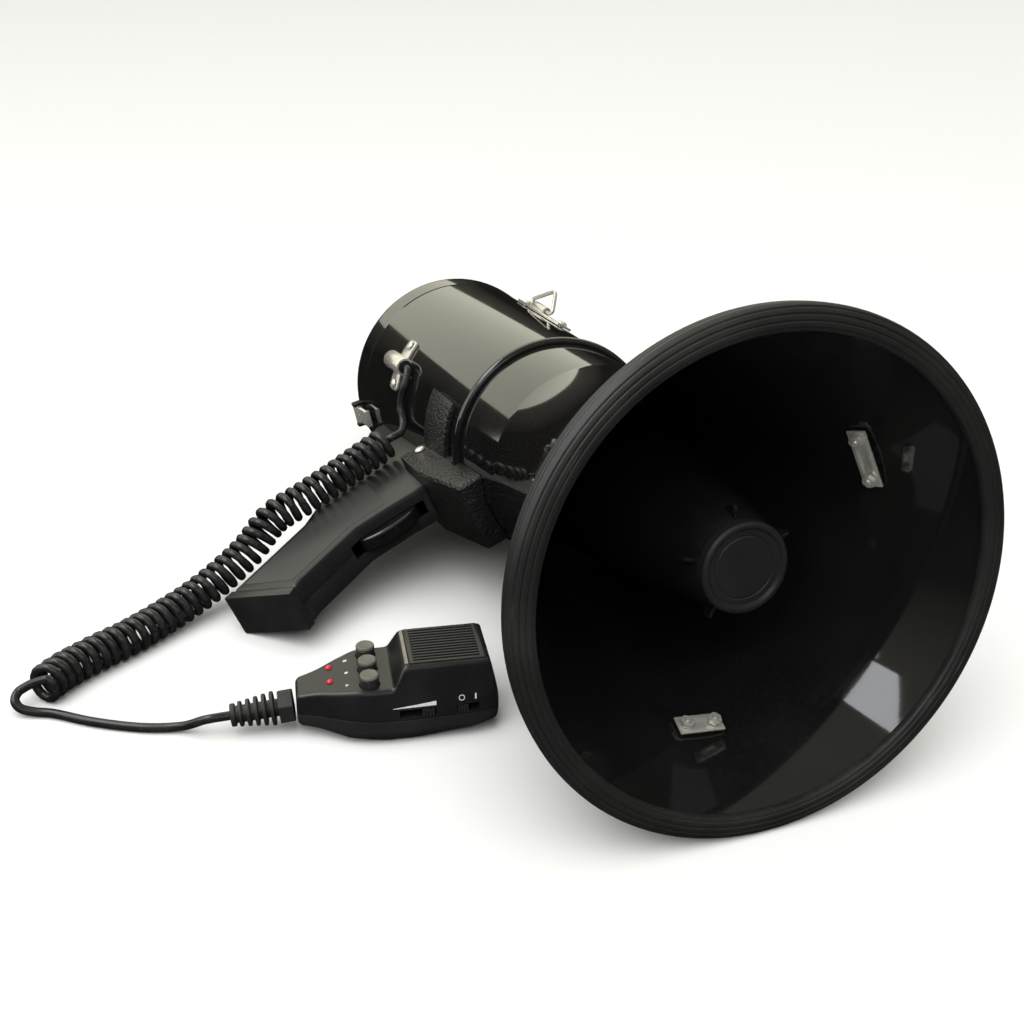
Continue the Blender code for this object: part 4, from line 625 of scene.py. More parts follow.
def wire(name: str, line: Sequence[Vector], radius: float, rounding: int,
         closed: bool = False) -> bpy.types.Curve:
    """A round wire along a line.

    Args:
        name: the curve's name.
        line: the points along its middle.
        radius: the wire's radius.
        rounding: how finely it is rounded.
        closed: whether its ends join.

    Returns:
        The curve.
    """
    curve = bpy.data.curves.new(name, "CURVE")
    curve.dimensions = "3D"
    curve.bevel_depth = radius
    curve.bevel_resolution = rounding
    curve.use_fill_caps = not closed
    spline = curve.splines.new("POLY")
    spline.points.add(len(line) - 1)
    for point, place in zip(spline.points, line):
        point.co = (*place, 1.0)
    spline.use_cyclic_u = closed
    return curve


def block(low: Place, high: Place) -> bpy.types.Mesh:
    """A plain block, for cutting with.

    Args:
        low: its lowest corner.
        high: its highest corner.

    Returns:
        The mesh.
    """
    bm = bmesh.new()
    bmesh.ops.create_cube(bm, size=1.0)
    bmesh.ops.scale(bm, vec=Vector(high) - Vector(low), verts=bm.verts)
    bmesh.ops.translate(bm, vec=(Vector(high) + Vector(low)) / 2, verts=bm.verts)
    return from_bmesh("block", bm)


def merged(name: str, parts: Sequence[tuple[bpy.types.Mesh, Matrix]]) -> bpy.types.Mesh:
    """Several meshes as one.

    Args:
        name: the mesh's name.
        parts: meshes with their places.

    Returns:
        The mesh.
    """
    bm = bmesh.new()
    for mesh, matrix in parts:
        copy = mesh.copy()
        copy.transform(matrix)
        bm.from_mesh(copy)
        bpy.data.meshes.remove(copy)
    return from_bmesh(name, bm)


def carved(name: str, mesh: bpy.types.Mesh, cutters: Sequence[bpy.types.Mesh]) -> bpy.types.Mesh:
    """A mesh with others cut out of it.

    Args:
        name: the new mesh's name.
        mesh: the shape.
        cutters: what is cut away.

    Returns:
        The mesh.
    """
    holder = bpy.data.objects.new(name, mesh)
    bpy.context.scene.collection.objects.link(holder)
    helpers = []
    for cutter in cutters:
        helper = bpy.data.objects.new("cutter", cutter)
        bpy.context.scene.collection.objects.link(helper)
        helpers.append(helper)
        step = holder.modifiers.new("cut", "BOOLEAN")
        step.operation = "DIFFERENCE"
        step.solver = "EXACT"
        step.object = helper
    graph = bpy.context.evaluated_depsgraph_get()
    made = bpy.data.meshes.new_from_object(holder.evaluated_get(graph))
    for helper in (holder, *helpers):
        bpy.data.objects.remove(helper, do_unlink=True)
    made.name = name
    made.shade_smooth()
    made.set_sharp_from_angle(angle=math.radians(38.0))
    return made


def show(name: str, mesh: bpy.types.Mesh | bpy.types.Curve, finish: Finish, body: Body,
         matrix: Matrix | None = None, replaces: Sequence[str] = ()) -> bpy.types.Object:
    """Put a piece in the scene, on its body.

    Args:
        name: the piece's name.
        mesh: its shape.
        finish: its finish.
        body: the body it rides on.
        matrix: its place.
        replaces: the CAD nodes it stands for.

    Returns:
        The piece.
    """
    mesh.transform(matrix or Matrix())
    obj = bpy.data.objects.new(name, mesh)
    bpy.context.scene.collection.objects.link(obj)
    mesh.materials.clear()
    mesh.materials.append(finish.material())
    if obj.type == "MESH":
        normals = obj.modifiers.new("even_shading", "WEIGHTED_NORMAL")
        normals.keep_sharp = True
    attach(obj, body.value)
    if replaces:
        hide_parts(*replaces)
    LOG.info("made %s, riding on %s", name, body.value)
    return obj


# ======================================================================================
# Lines and stances
# ======================================================================================


@dataclass(frozen=True)
class HornLine:
    """Radii along the megaphone's axis, and how it lies."""

    rim_radius: float = 0.115
    rim_land: float = 0.005
    rim_cover: float = 0.0065
    bell_length: float = 0.180
    neck_radius: float = 0.054
    neck_length: float = 0.047
    ring_tube: float = 0.0028
    barrel_taper: float = 0.055
    barrel_wall: float = 0.0025
    barrel_length: float = 0.159
    cap_length: float = 0.0185
    cap_round: float = 0.0035
    cap_swell: float = 0.0003
    bracket_rear: float = 0.2815
    clamp_station: float = 0.337
    clamp_angle: float = 129.0
    grip_half: float = 0.012
    tip_rear: Pair = (0.2480, 0.1387)
    middle: Pair = (-0.0445, 0.2005)
    mic_place: Pair = (-0.1720, 0.1375)
    mic_turn: float = -11.0

    @property
    def neck(self) -> float:
        """Station of the neck."""
        return self.rim_land + self.bell_length

    @property
    def ring(self) -> float:
        """Station of the black ring."""
        return self.neck + self.neck_length

    @property
    def barrel_front(self) -> float:
        """Station of the barrel's front edge."""
        return self.ring + self.ring_tube + GAP

    @property
    def seam(self) -> float:
        """Station of the rear cap's seam."""
        return self.ring + self.barrel_length

    @property
    def cap_end(self) -> float:
        """Station of the rear cap's end."""
        return self.seam + self.cap_length

    def barrel(self, station: float) -> float:
        """Outside radius of the neck and the barrel."""
        return self.neck_radius + self.barrel_taper * (station - self.neck)

    def bell(self, station: float) -> float:
        """Outside radius of the flare."""
        run = (station - self.rim_land) / self.bell_length
        return self.neck_radius + (self.rim_radius - self.rim_cover - self.neck_radius) * (1.0 - run) ** 2

    def cap(self, station: float) -> float:
        """Outside radius of the rear cap."""
        return self.barrel(station) + self.cap_swell

    def spigot(self) -> float:
        """Outside radius of the horn's end inside the barrel."""
        return self.barrel(self.barrel_front) - self.barrel_wall - GAP

    def datum(self) -> float:
        """Distance of the barrel's underside from the axis, from which drops are counted."""
        return self.barrel(self.bracket_rear)

    def wall(self, radius_at: Callable[[float], float], station: float, angle: float) -> Matrix:
        """A frame on a turned surface.

        Args:
            radius_at: the surface's radius by station.
            station: its place along the axis.
            angle: its place round the axis, in degrees.

        Returns:
            The frame: +Z out of the surface, +Y along it to the rear.
        """
        slope = (radius_at(station + 0.001) - radius_at(station - 0.001)) / 0.002
        turn = math.radians(angle)
        out = Vector((-math.sin(turn), 0.0, math.cos(turn)))
        rear = Vector((0.0, 1.0, 0.0))
        normal = (out - slope * rear).normalized()
        along = (rear + slope * out).normalized()
        matrix = Matrix((along.cross(normal), along, normal)).transposed().to_4x4()
        matrix.translation = out * radius_at(station) + rear * station
        return matrix

    def stance(self) -> Matrix:
        """Lay the megaphone on its rim, its rear cap and the tip of its grip.

        Returns:
            Its frame as it lies.
        """
        widest = self.cap_end - self.cap_round
        tilt = math.atan2(self.rim_radius - self.cap(widest), widest - self.rim_land)
        height = self.rim_land * math.sin(tilt) + self.rim_radius * math.cos(tilt)
        down = self.datum() + self.tip_rear[1]
        reach = (height - self.tip_rear[0] * math.sin(tilt)) / math.cos(tilt)
        roll = math.acos(reach / math.hypot(down, self.grip_half)) + math.atan2(self.grip_half, down)
        lean = Matrix.Rotation(-tilt, 4, "X") @ Matrix.Rotation(roll, 4, "Y")
        return self.surface() @ moved(z=height) @ lean

    def surface(self) -> Matrix:
        """The frame under the mouth's middle."""
        return moved(-self.middle[0], -self.middle[1])

    def mic_stance(self) -> Matrix:
        """The microphone's frame as it lies."""
        turn = Matrix.Rotation(math.radians(self.mic_turn), 4, "Z")
        return self.surface() @ moved(*self.mic_place) @ turn


LINE = HornLine()
MEGAPHONE = LINE.stance()
MICROPHONE = LINE.mic_stance()


# ======================================================================================
# Studio
# ======================================================================================


@dataclass(frozen=True)
class Card:
    """A glowing card that only reflections see."""

    name: str
    place: Place
    half: Pair
    colour: Colour
    strength: float


@dataclass
class Studio:
    """Camera, pale floor, soft lights and the cards that the gloss paint mirrors."""

    camera_place: Place = (-0.22525, -0.60426, 0.37863)
    camera_turn: float = 21.07552
    camera_drop: float = 25.86902
    lens: float = 47.25
    sensor: float = 36.0
    floor_half: float = 60.0
    floor_drop: float = 0.0002
    floor_colour: Colour = (0.86, 0.86, 0.86)
    yard: Colour = (0.016, 0.015, 0.013)
    sky: Colour = (0.34, 0.33, 0.27)
    sky_strength: float = 0.8
    middle: Place = (0.0, 0.0, 0.1)
    daylight_place: Place = (-0.5, -0.8, 2.2)
    daylight_power: float = 2.6
    daylight_spread: float = 80.0
    key_place: Place = (-1.2, -1.6, 2.6)
    key_size: float = 2.4
    key_power: float = 50.0
    cards: tuple[Card, ...] = (
        Card("sky_card", (-0.1, 2.3, 2.25), (3.6, 1.9), (0.84, 0.83, 0.68), 1.5),
        Card("left_card", (-2.2, 1.9, 1.1), (1.1, 1.2), (0.82, 0.80, 0.68), 1.6),
        Card("mouth_card", (-1.20, 0.28, 1.95), (0.95, 0.42), (0.95, 0.96, 1.0), 5.0),
        Card("mouth_card_low", (-1.95, 0.10, 1.15), (0.45, 0.55), (0.90, 0.92, 1.0), 3.0),
        Card("front_card", (-0.9, -1.9, 1.7), (0.9, 0.5), (1.0, 1.0, 1.0), 1.2),
    )

    def build(self) -> None:
        """Set up the studio."""
        self.camera()
        self.floor()
        self.world()
        self.daylight()
        self.key_light()
        for card in self.cards:
            self.stand(card)

    def put(self, name: str, data: bpy.types.ID | None, place: Place) -> bpy.types.Object:
        """Put an object in the scene.

        Args:
            name: its name.
            data: what it shows.
            place: where it is.

        Returns:
            The object.
        """
        obj = bpy.data.objects.new(name, data)
        obj.location = place
        bpy.context.scene.collection.objects.link(obj)
        return obj

    def facing(self, place: Place, target: Place) -> Euler:
        """The turn that points -Z from a place to a target."""
        return (Vector(target) - Vector(place)).to_track_quat("-Z", "Y").to_euler()

    def panel(self, name: str, half: Pair, place: Place) -> tuple[bpy.types.Object, bpy.types.NodeTree]:
        """Put up a flat panel with a material of its own.

        Args:
            name: its name.
            half: half of its width and height.
            place: its middle.

        Returns:
            The panel and its material's nodes.
        """
        wide, tall = half
        corners = [(-wide, -tall, 0), (wide, -tall, 0), (wide, tall, 0), (-wide, tall, 0)]
        mesh = bpy.data.meshes.new(name)
        mesh.from_pydata(corners, [], [(0, 1, 2, 3)])
        material = bpy.data.materials.new(name)
        material.use_nodes = True
        mesh.materials.append(material)
        obj = self.put(name, mesh, place)
        return obj, material.node_tree

    def camera(self) -> None:
        """Place the camera."""
        data = bpy.data.cameras.new("camera")
        data.lens = self.lens
        data.sensor_width = self.sensor
        obj = self.put("camera", data, self.camera_place)
        obj.rotation_euler = (math.radians(90.0 - self.camera_drop), 0.0, math.radians(-self.camera_turn))
        bpy.context.scene.camera = obj

    def floor(self) -> None:
        """Lay the floor."""
        obj, tree = self.panel("floor", (self.floor_half, self.floor_half), (0.0, 0.0, -self.floor_drop))
        shader = tree.nodes["Principled BSDF"]
        shader.inputs["Base Color"].default_value = (*self.floor_colour, 1.0)
        shader.inputs["Roughness"].default_value = 0.9
        shader.inputs["Specular IOR Level"].default_value = 0.1
        obj.visible_glossy = False

    def world(self) -> None:
        """Pale to the eye, and a dim yard under an olive sky in the gloss."""
        world = bpy.data.worlds.new("yard")
        bpy.context.scene.world = world
        world.use_nodes = True
        tree = world.node_tree
        tree.nodes.clear()
        split = tree.nodes.new("ShaderNodeSeparateXYZ")
        tree.links.new(tree.nodes.new("ShaderNodeTexCoord").outputs["Generated"], split.inputs[0])
        spread = tree.nodes.new("ShaderNodeMapRange")
        spread.inputs["From Min"].default_value = -1.0
        tree.links.new(split.outputs["Z"], spread.inputs["Value"])
        ramp = tree.nodes.new("ShaderNodeValToRGB")
        ramp.color_ramp.elements[0].position = 0.50
        ramp.color_ramp.elements[0].color = (*self.yard, 1.0)
        ramp.color_ramp.elements[1].position = 0.80
        ramp.color_ramp.elements[1].color = (*self.sky, 1.0)
        tree.links.new(spread.outputs["Result"], ramp.inputs["Fac"])
        yard = tree.nodes.new("ShaderNodeBackground")
        yard.inputs["Strength"].default_value = self.sky_strength
        tree.links.new(ramp.outputs["Color"], yard.inputs["Color"])
        paper = tree.nodes.new("ShaderNodeBackground")
        paper.inputs["Color"].default_value = (1.0, 1.0, 1.0, 1.0)
        mix = tree.nodes.new("ShaderNodeMixShader")
        tree.links.new(tree.nodes.new("ShaderNodeLightPath").outputs["Is Camera Ray"], mix.inputs[0])
        tree.links.new(yard.outputs[0], mix.inputs[1])
        tree.links.new(paper.outputs[0], mix.inputs[2])
        tree.links.new(mix.outputs[0], tree.nodes.new("ShaderNodeOutputWorld").inputs["Surface"])
        bpy.context.scene.view_settings.view_transform = "Standard"

    def daylight(self) -> None:
        """Shine wide, even daylight on the set, which gloss doesn't mirror."""
        data = bpy.data.lights.new("daylight", "SUN")
        data.energy = self.daylight_power
        data.angle = math.radians(self.daylight_spread)
        obj = self.put("daylight", data, (0.0, 0.0, 0.0))
        obj.rotation_euler = self.facing(self.daylight_place, (0.0, 0.0, 0.0))
        obj.visible_glossy = False

    def key_light(self) -> None:
        """Hang the soft main light, which gloss doesn't mirror."""
        data = bpy.data.lights.new("key_light", "AREA")
        data.shape = "SQUARE"
        data.size = self.key_size
        data.energy = self.key_power
        obj = self.put("key_light", data, self.key_place)
        obj.rotation_euler = self.facing(self.key_place, self.middle)
        obj.visible_glossy = False

    def stand(self, card: Card) -> None:
        """Stand a card so that it faces the set.

        Args:
            card: the card.
        """
        obj, tree = self.panel(card.name, card.half, card.place)
        tree.nodes.clear()
        glow = tree.nodes.new("ShaderNodeEmission")
        glow.inputs["Color"].default_value = (*card.colour, 1.0)
        glow.inputs["Strength"].default_value = card.strength
        tree.links.new(glow.outputs[0], tree.nodes.new("ShaderNodeOutputMaterial").inputs["Surface"])
        obj.rotation_euler = self.facing(card.place, self.middle)
        obj.visible_camera = False
        obj.visible_diffuse = False
        obj.visible_shadow = False


# ======================================================================================
# Curly cord
# ======================================================================================


@dataclass
class CurlyCord:
    """One cord: a lead from the clamp, a coil over the grip and along the surface, a tail to the microphone."""

    radius: float = 0.0023
    length: float = 2.18
    coil_radius: float = 0.0102
    coil_gap: float = 0.0008
    winding: float = 0.0078
    pitch: float = 0.0060
    points_per_turn: int = 16
    end_gap: float = 0.0006
    arch_height: float = 0.0029
    arch_length: float = 0.024
    set_back: float = 0.0015
    spacing: float = 0.0012
    round_barrel: tuple[Pair, ...] = ((131.0, 0.3190), (137.5, 0.3170), (144.5, 0.3180), (151.0, 0.3165),
                                      (157.0, 0.3120))
    on_grip: tuple[Pair, ...] = ((0.3034, 0.0104), (0.3006, 0.0268), (0.2941, 0.0511), (0.2900, 0.0739),
                                 (0.2868, 0.0941))
    on_floor: tuple[Place, ...] = (
        (-0.1671, 0.2732, 0.0308), (-0.1850, 0.2655, 0.0212), (-0.2036, 0.2570, 0.0145),
        (-0.2237, 0.2460, 0.0112), (-0.2403, 0.2353, 0.0105), (-0.2565, 0.2262, 0.0105),
        (-0.2735, 0.2150, 0.0105), (-0.2868, 0.2020, 0.0105))
    tail_turn: tuple[Place, ...] = (
        (-0.2966, 0.2034, 0.0098), (-0.2985, 0.1996, 0.0078), (-0.2965, 0.1962, 0.0050),
        (-0.2908, 0.1938, 0.0032), (-0.2810, 0.1890, 0.0026), (-0.2640, 0.1750, 0.0026),
        (-0.2430, 0.1620, 0.0026), (-0.2250, 0.1540, 0.0040))
    relief_end: float = 0.0313

    def middle(self) -> list[Vector]:
        """Lead the coil over the grip and along the surface.

        Returns:
            The line through its middle.
        """
        side = -LINE.grip_half - self.coil_radius - self.coil_gap
        route = [MEGAPHONE @ Vector((side, station, -LINE.datum() - drop)) for station, drop in self.on_grip]
        route += [LINE.surface() @ Vector(point) for point in self.on_floor]
        return smooth_path(route, self.pitch / self.points_per_turn)

    def windings(self, middle: Sequence[Vector], end_side: Vector) -> list[Vector]:
        """Wind the cord round the coil's middle.

        Args:
            middle: the coil's middle line.
            end_side: the direction from the middle to the cord where the coil ends.

        Returns:
            The cord's line through the coil.
        """
        runs = [(b - a).normalized() for a, b in zip(middle, middle[1:])]
        runs.append(runs[-1])
        side = runs[0].orthogonal().normalized()
        sides = [side]
        for run in runs[1:]:
            side = (side - run * side.dot(run)).normalized()
            sides.append(side)
        gone = [0.0]
        for a, b in zip(middle, middle[1:]):
            gone.append(gone[-1] + (b - a).length)
        last = math.atan2(end_side.dot(runs[-1].cross(sides[-1])), end_side.dot(sides[-1]))
        turns = round(gone[-1] / self.pitch - last / math.tau) + last / math.tau
        line = []
        for place, run, side, far in zip(middle, runs, sides, gone):
            turn = math.tau * turns * far / gone[-1]
            grown = min(1.0, far / (1.2 * self.pitch))
            reach = self.winding * grown * grown * (3.0 - 2.0 * grown)
            line.append(place + (side * math.cos(turn) + run.cross(side) * math.sin(turn)) * reach)
        return line

    def eased_joint(self, line: list[Vector], where: int, reach: int) -> None:
        """Ease the line where two stretches meet.

        Args:
            line: the cord's line, changed in place.
            where: the point where they meet.
            reach: how many points to each side are eased.
        """
        for _ in range(30):
            for i in range(where - reach, where + reach):
                line[i] = line[i] * 0.5 + (line[i - 1] + line[i + 1]) * 0.25

    def build(self) -> None:
        middle = self.middle()
        run = (middle[-1] - middle[-2]).normalized()
        beside = Vector((0.0, 0.0, 1.0)).cross(run).normalized() * -self.winding
        coil = self.windings(middle, beside.normalized())
        start = (middle[0] - middle[1]).normalized()
        entry = middle[0] + start * self.end_gap
        clamp = LINE.wall(LINE.barrel, LINE.clamp_station, LINE.clamp_angle)
        arch = MEGAPHONE @ clamp @ moved(z=self.arch_height)
        face = -self.arch_length / 2 + self.set_back - self.end_gap
        leaving = arch @ Vector((0.0, face, 0.0))
        lead = [leaving, arch @ Vector((0.0, face - 2 * self.radius, 0.0))]
        lift = Vector((0.0, 0.0, self.radius + BENT_GAP))
        lead += [MEGAPHONE @ LINE.wall(LINE.barrel, station, angle) @ lift
                 for angle, station in self.round_barrel]
        lead += [entry + start * 2 * self.radius, entry]
        relief = MICROPHONE @ Microphone().relief_frame()
        far = self.relief_end + self.end_gap
        tail = [middle[-1] + run * self.end_gap + beside]
        tail += [LINE.surface() @ Vector(point) for point in self.tail_turn]
        tail += [relief @ Vector((0.0, 0.0, far + 5 * self.radius)), relief @ Vector((0.0, 0.0, far))]
        first = smooth_path(lead, self.spacing)
        line = first[:-1] + coil[4:-2] + smooth_path(tail, self.spacing)
        self.eased_joint(line, len(first) + 1, 6)
        self.eased_joint(line, len(first) + len(coil) - 7, 4)
        curve = wire("curly_cord", line, self.radius, 3)
        obj = show("curly_cord", curve, CORD_SHEATH, Body.MEGAPHONE,
                   replaces=("cord_lead", "cord_coil", "cord_tail"))
        real = sum((b - a).length for a, b in zip(line, line[1:]))
        LOG.info("the cord runs %.3f m", real)


# ======================================================================================
# Horn and barrel
# ======================================================================================


@dataclass
class Horn:
    """The flared bell, its rubber rim, the black ring and the reflector."""

    wall: float = 0.0022
    rim_width: float = 0.0115
    rim_depth: float = 0.0155
    grooves: int = 9
    groove_depth: float = 0.00045
    spigot_length: float = 0.016
    cap_station: float = 0.0235
    cap_radius: float = 0.0205
    cap_depth: float = 0.0055
    cap_lip: float = 0.0014
    cap_lip_width: float = 0.0036
    reflector_length: float = 0.136
    reflector_radius: float = 0.041
    reflector_power: float = 0.8
    reflector_wall: float = 0.0020
    rib_count: int = 5
    rib_reach: float = 0.0065
    rib_thickness: float = 0.0016
    rib_length: float = 0.010

    def build(self) -> None:
        """Make the horn's pieces."""
        self.bell()
        self.rim()
        turns = [math.tau * i / 24 for i in range(24)]
        middle = LINE.spigot() + GAP + LINE.ring_tube
        tube = LINE.ring_tube
        ring = [(LINE.ring + tube * math.cos(t), middle + tube * math.sin(t)) for t in turns]
        show("black_ring", lathe("black_ring", ring), GLOSS_PAINT, Body.MEGAPHONE, MEGAPHONE,
             ["neck_ring"])
        self.reflector()

    def bell(self) -> None:
        """Make the bell."""
        steps = 60
        flare = [LINE.rim_land + (LINE.neck - LINE.rim_land) * i / steps for i in range(steps + 1)]
        shoulder = LINE.ring - LINE.ring_tube - GAP
        end = LINE.barrel_front + self.spigot_length
        outer = [(s, LINE.bell(s)) for s in flare]
        outer += [(shoulder - 0.0004, LINE.barrel(shoulder)), (shoulder, LINE.barrel(shoulder) - 0.0004)]
        outer += [(shoulder, LINE.spigot()), (end, LINE.spigot())]
        inner = [(s, LINE.bell(s) - self.wall) for s in flare]
        inner.append((end, LINE.spigot() - self.wall))
        mesh = lathe("flared_bell", outer + inner[::-1])
        show("flared_bell", mesh, GLOSS_PAINT, Body.MEGAPHONE, MEGAPHONE, ["horn_bell"])

    def rim(self) -> None:
        """Make the grooved rubber rim."""
        face = LINE.rim_radius - self.rim_width
        step = self.rim_width / 6
        outer = [(0.0025, face), (0.0010, face + 0.3 * step), (0.0, face + 1.5 * step),
                 (0.0, face + 3.0 * step), (0.0010, face + 4.8 * step), (0.0028, LINE.rim_radius - 0.25 * step),
                 (LINE.rim_land, LINE.rim_radius), (self.rim_depth - 0.0030, LINE.rim_radius - 0.6 * step),
                 (self.rim_depth, LINE.rim_radius - 2.2 * step)]
        skin = smooth_path([Vector((s, r, 0.0)) for s, r in outer[1:]], 0.00022)
        total = sum((b - a).length for a, b in zip(skin, skin[1:]))
        gone, grooved = 0.0, [outer[0]]
        for i, here in enumerate(skin):
            ahead = skin[min(i + 1, len(skin) - 1)] - skin[max(i - 1, 0)]
            inward = Vector((ahead.y, -ahead.x, 0.0)).normalized()
            wave = max(0.0, -math.cos(math.tau * self.grooves * gone / total)) ** 3
            fade = min(1.0, 8.0 * min(gone, total - gone) / total)
            moved_in = here + inward * (self.groove_depth * wave * fade + 0.00003)
            grooved.append((max(0.0, moved_in.x), min(moved_in.y, LINE.rim_radius)))
            if i + 1 < len(skin):
                gone += (skin[i + 1] - here).length
        inner = [(LINE.rim_land - GAP, face + 0.2 * step),
                 (LINE.rim_land - GAP, LINE.bell(LINE.rim_land) + RUNNING_GAP),
                 (self.rim_depth, LINE.bell(self.rim_depth) + RUNNING_GAP)]
        mesh = lathe("rubber_rim", grooved + inner[::-1], crease=60.0)
        show("rubber_rim", mesh, RIM_RUBBER, Body.MEGAPHONE, MEGAPHONE, ["rim_guard"])

    def cup_radius(self, station: float) -> float:
        """Outside radius of the reflector's cup."""
        run = max(0.0, (station - self.cap_station - self.cap_depth - GAP) / self.reflector_length)
        return self.cap_radius + (self.reflector_radius - self.cap_radius) * run ** self.reflector_power

    def reflector(self) -> None:
        """Make the cup with its ribs, and the cap in front of it."""
        front = self.cap_station + self.cap_depth + GAP
        steps = 24
        stations = [front + self.reflector_length * i / steps for i in range(steps + 1)]
        nose = front + self.reflector_wall
        outer = [(front, 0.0)] + [(s, self.cup_radius(s)) for s in stations]
        inner = [(nose, 0.0)] + [(max(s, nose), self.cup_radius(s) - self.reflector_wall) for s in stations]
        parts = [(lathe("cup", outer + inner[::-1], 96), Matrix())]
        reach = self.cap_radius + self.rib_reach
        root = self.cap_radius - self.reflector_wall / 2
        outline = [(front + GAP, root), (front + GAP, reach - 0.0012), (front + 0.0030, reach),
                   (front + self.rib_length, root + 0.0035), (front + self.rib_length, root)]
        rib = plate("rib", eased([(x, -y) for x, y in outline], 0.0006), self.rib_thickness, 0.0004)
        for i in range(self.rib_count):
            parts.append((rib, Matrix.Rotation(math.tau * i / self.rib_count, 4, "Y") @ SIDE_VIEW))
        mesh = merged("reflector_with_ribs", parts)
        show("reflector_with_ribs", mesh, GLOSS_PAINT, Body.MEGAPHONE, MEGAPHONE, ["reflector_cup"])
        floor = self.cap_station + self.cap_lip
        lip = self.cap_radius - self.cap_lip_width
        face, rear = self.cap_station, self.cap_station + self.cap_depth
        corners = [(floor, 0.0), (floor, lip * 0.80), (floor + self.cap_lip / 3, lip * 0.825),
                   (floor, lip * 0.85), (floor, lip), (face, lip + 0.0010), (face, self.cap_radius - 0.0012),
                   (face + 0.0010, self.cap_radius), (rear, self.cap_radius), (rear, 0.0)]
        section = eased(corners, 0.0004, 3, closed=False)
        show("reflector_face", lathe("reflector_face", section, 96), SATIN_PLASTIC, Body.MEGAPHONE,
             MEGAPHONE, ["reflector_cap"])


@dataclass
class Barrel:
    """The barrel and its rear cap with two ears."""

    seam_gap: float = 0.0008
    edge: float = 0.0006
    skirt: float = 0.012
    cap_wall: float = 0.0028
    catch_angle: float = 169.0
    catch_ahead: float = 0.009
    catch_rise: float = 0.0036
    catch_half: float = 0.0055
    hub: float = 0.0030
    ear: float = 0.0020
    ear_round: float = 0.0018
    end_rim: float = 0.009
    end_recess: float = 0.0007

    def build(self) -> None:
        """Make the barrel and the cap."""
        rear = LINE.seam - self.seam_gap / 2
        front = LINE.barrel_front
        corners = [(front, LINE.barrel(front)), (rear, LINE.barrel(rear)),
                   (rear, LINE.barrel(rear) - LINE.barrel_wall), (front, LINE.barrel(front) - LINE.barrel_wall)]
        mesh = lathe("long_barrel", eased(corners, self.edge, 3))
        show("long_barrel", mesh, GLOSS_PAINT, Body.MEGAPHONE, MEGAPHONE, ["barrel_shell"])
        self.rear_cap()

    def rear_cap(self) -> None:
        """Make the rear cap with the ears for its catch."""
        start = LINE.seam + self.seam_gap / 2
        skirt = LINE.seam - self.skirt
        skirt_radius = LINE.barrel(skirt) - LINE.barrel_wall - RUNNING_GAP
        bore = skirt_radius - self.cap_wall
        widest = LINE.cap_end - LINE.cap_round
        edge = LINE.cap(widest)
        inside = LINE.cap_end - self.cap_wall
        recess = LINE.cap_end - self.end_recess
        flat = edge - 4 * LINE.cap_round
        rounding = eased([(widest, edge), (LINE.cap_end, edge), (LINE.cap_end, flat)], LINE.cap_round, 8, False)
        section = [(skirt, skirt_radius), (start, skirt_radius), (start, LINE.barrel(start) - self.edge),
                   (start + self.edge, LINE.barrel(start)), *rounding[:-1], (LINE.cap_end, edge - self.end_rim),
                   (recess, edge - self.end_rim - self.edge), (recess, 0.0), (inside, 0.0), (inside, bore),
                   (skirt, bore)]
        parts = [(lathe("cap", section), Matrix())]
        seat = LINE.wall(LINE.cap, LINE.cap_end - self.catch_ahead, self.catch_angle)
        hinge = seat @ moved(z=self.catch_rise)
        low = -self.catch_rise - self.ear
        corners = [(-self.hub, low), (self.hub, low), (self.hub, self.hub), (-self.hub, self.hub)]
        ear = plate("ear", eased(corners, self.ear_round), self.ear, 0.0003)
        for side in (-1, 1):
            across = side * (self.catch_half + RUNNING_GAP + self.ear / 2)
            parts.append((ear, hinge @ moved(x=across) @ CROSS_VIEW))
        show("cap_with_ears", merged("cap_with_ears", parts), GLOSS_PAINT, Body.REAR_CAP, MEGAPHONE,
             ["rear_cap"])


# ======================================================================================
# Hardware and grip
# ======================================================================================


@dataclass(frozen=True)
class Strip:
    """A strip on the bell and the pair of bolts that hold it."""

    station: float
    angle: float
    bolt_pitch: float
    length: float


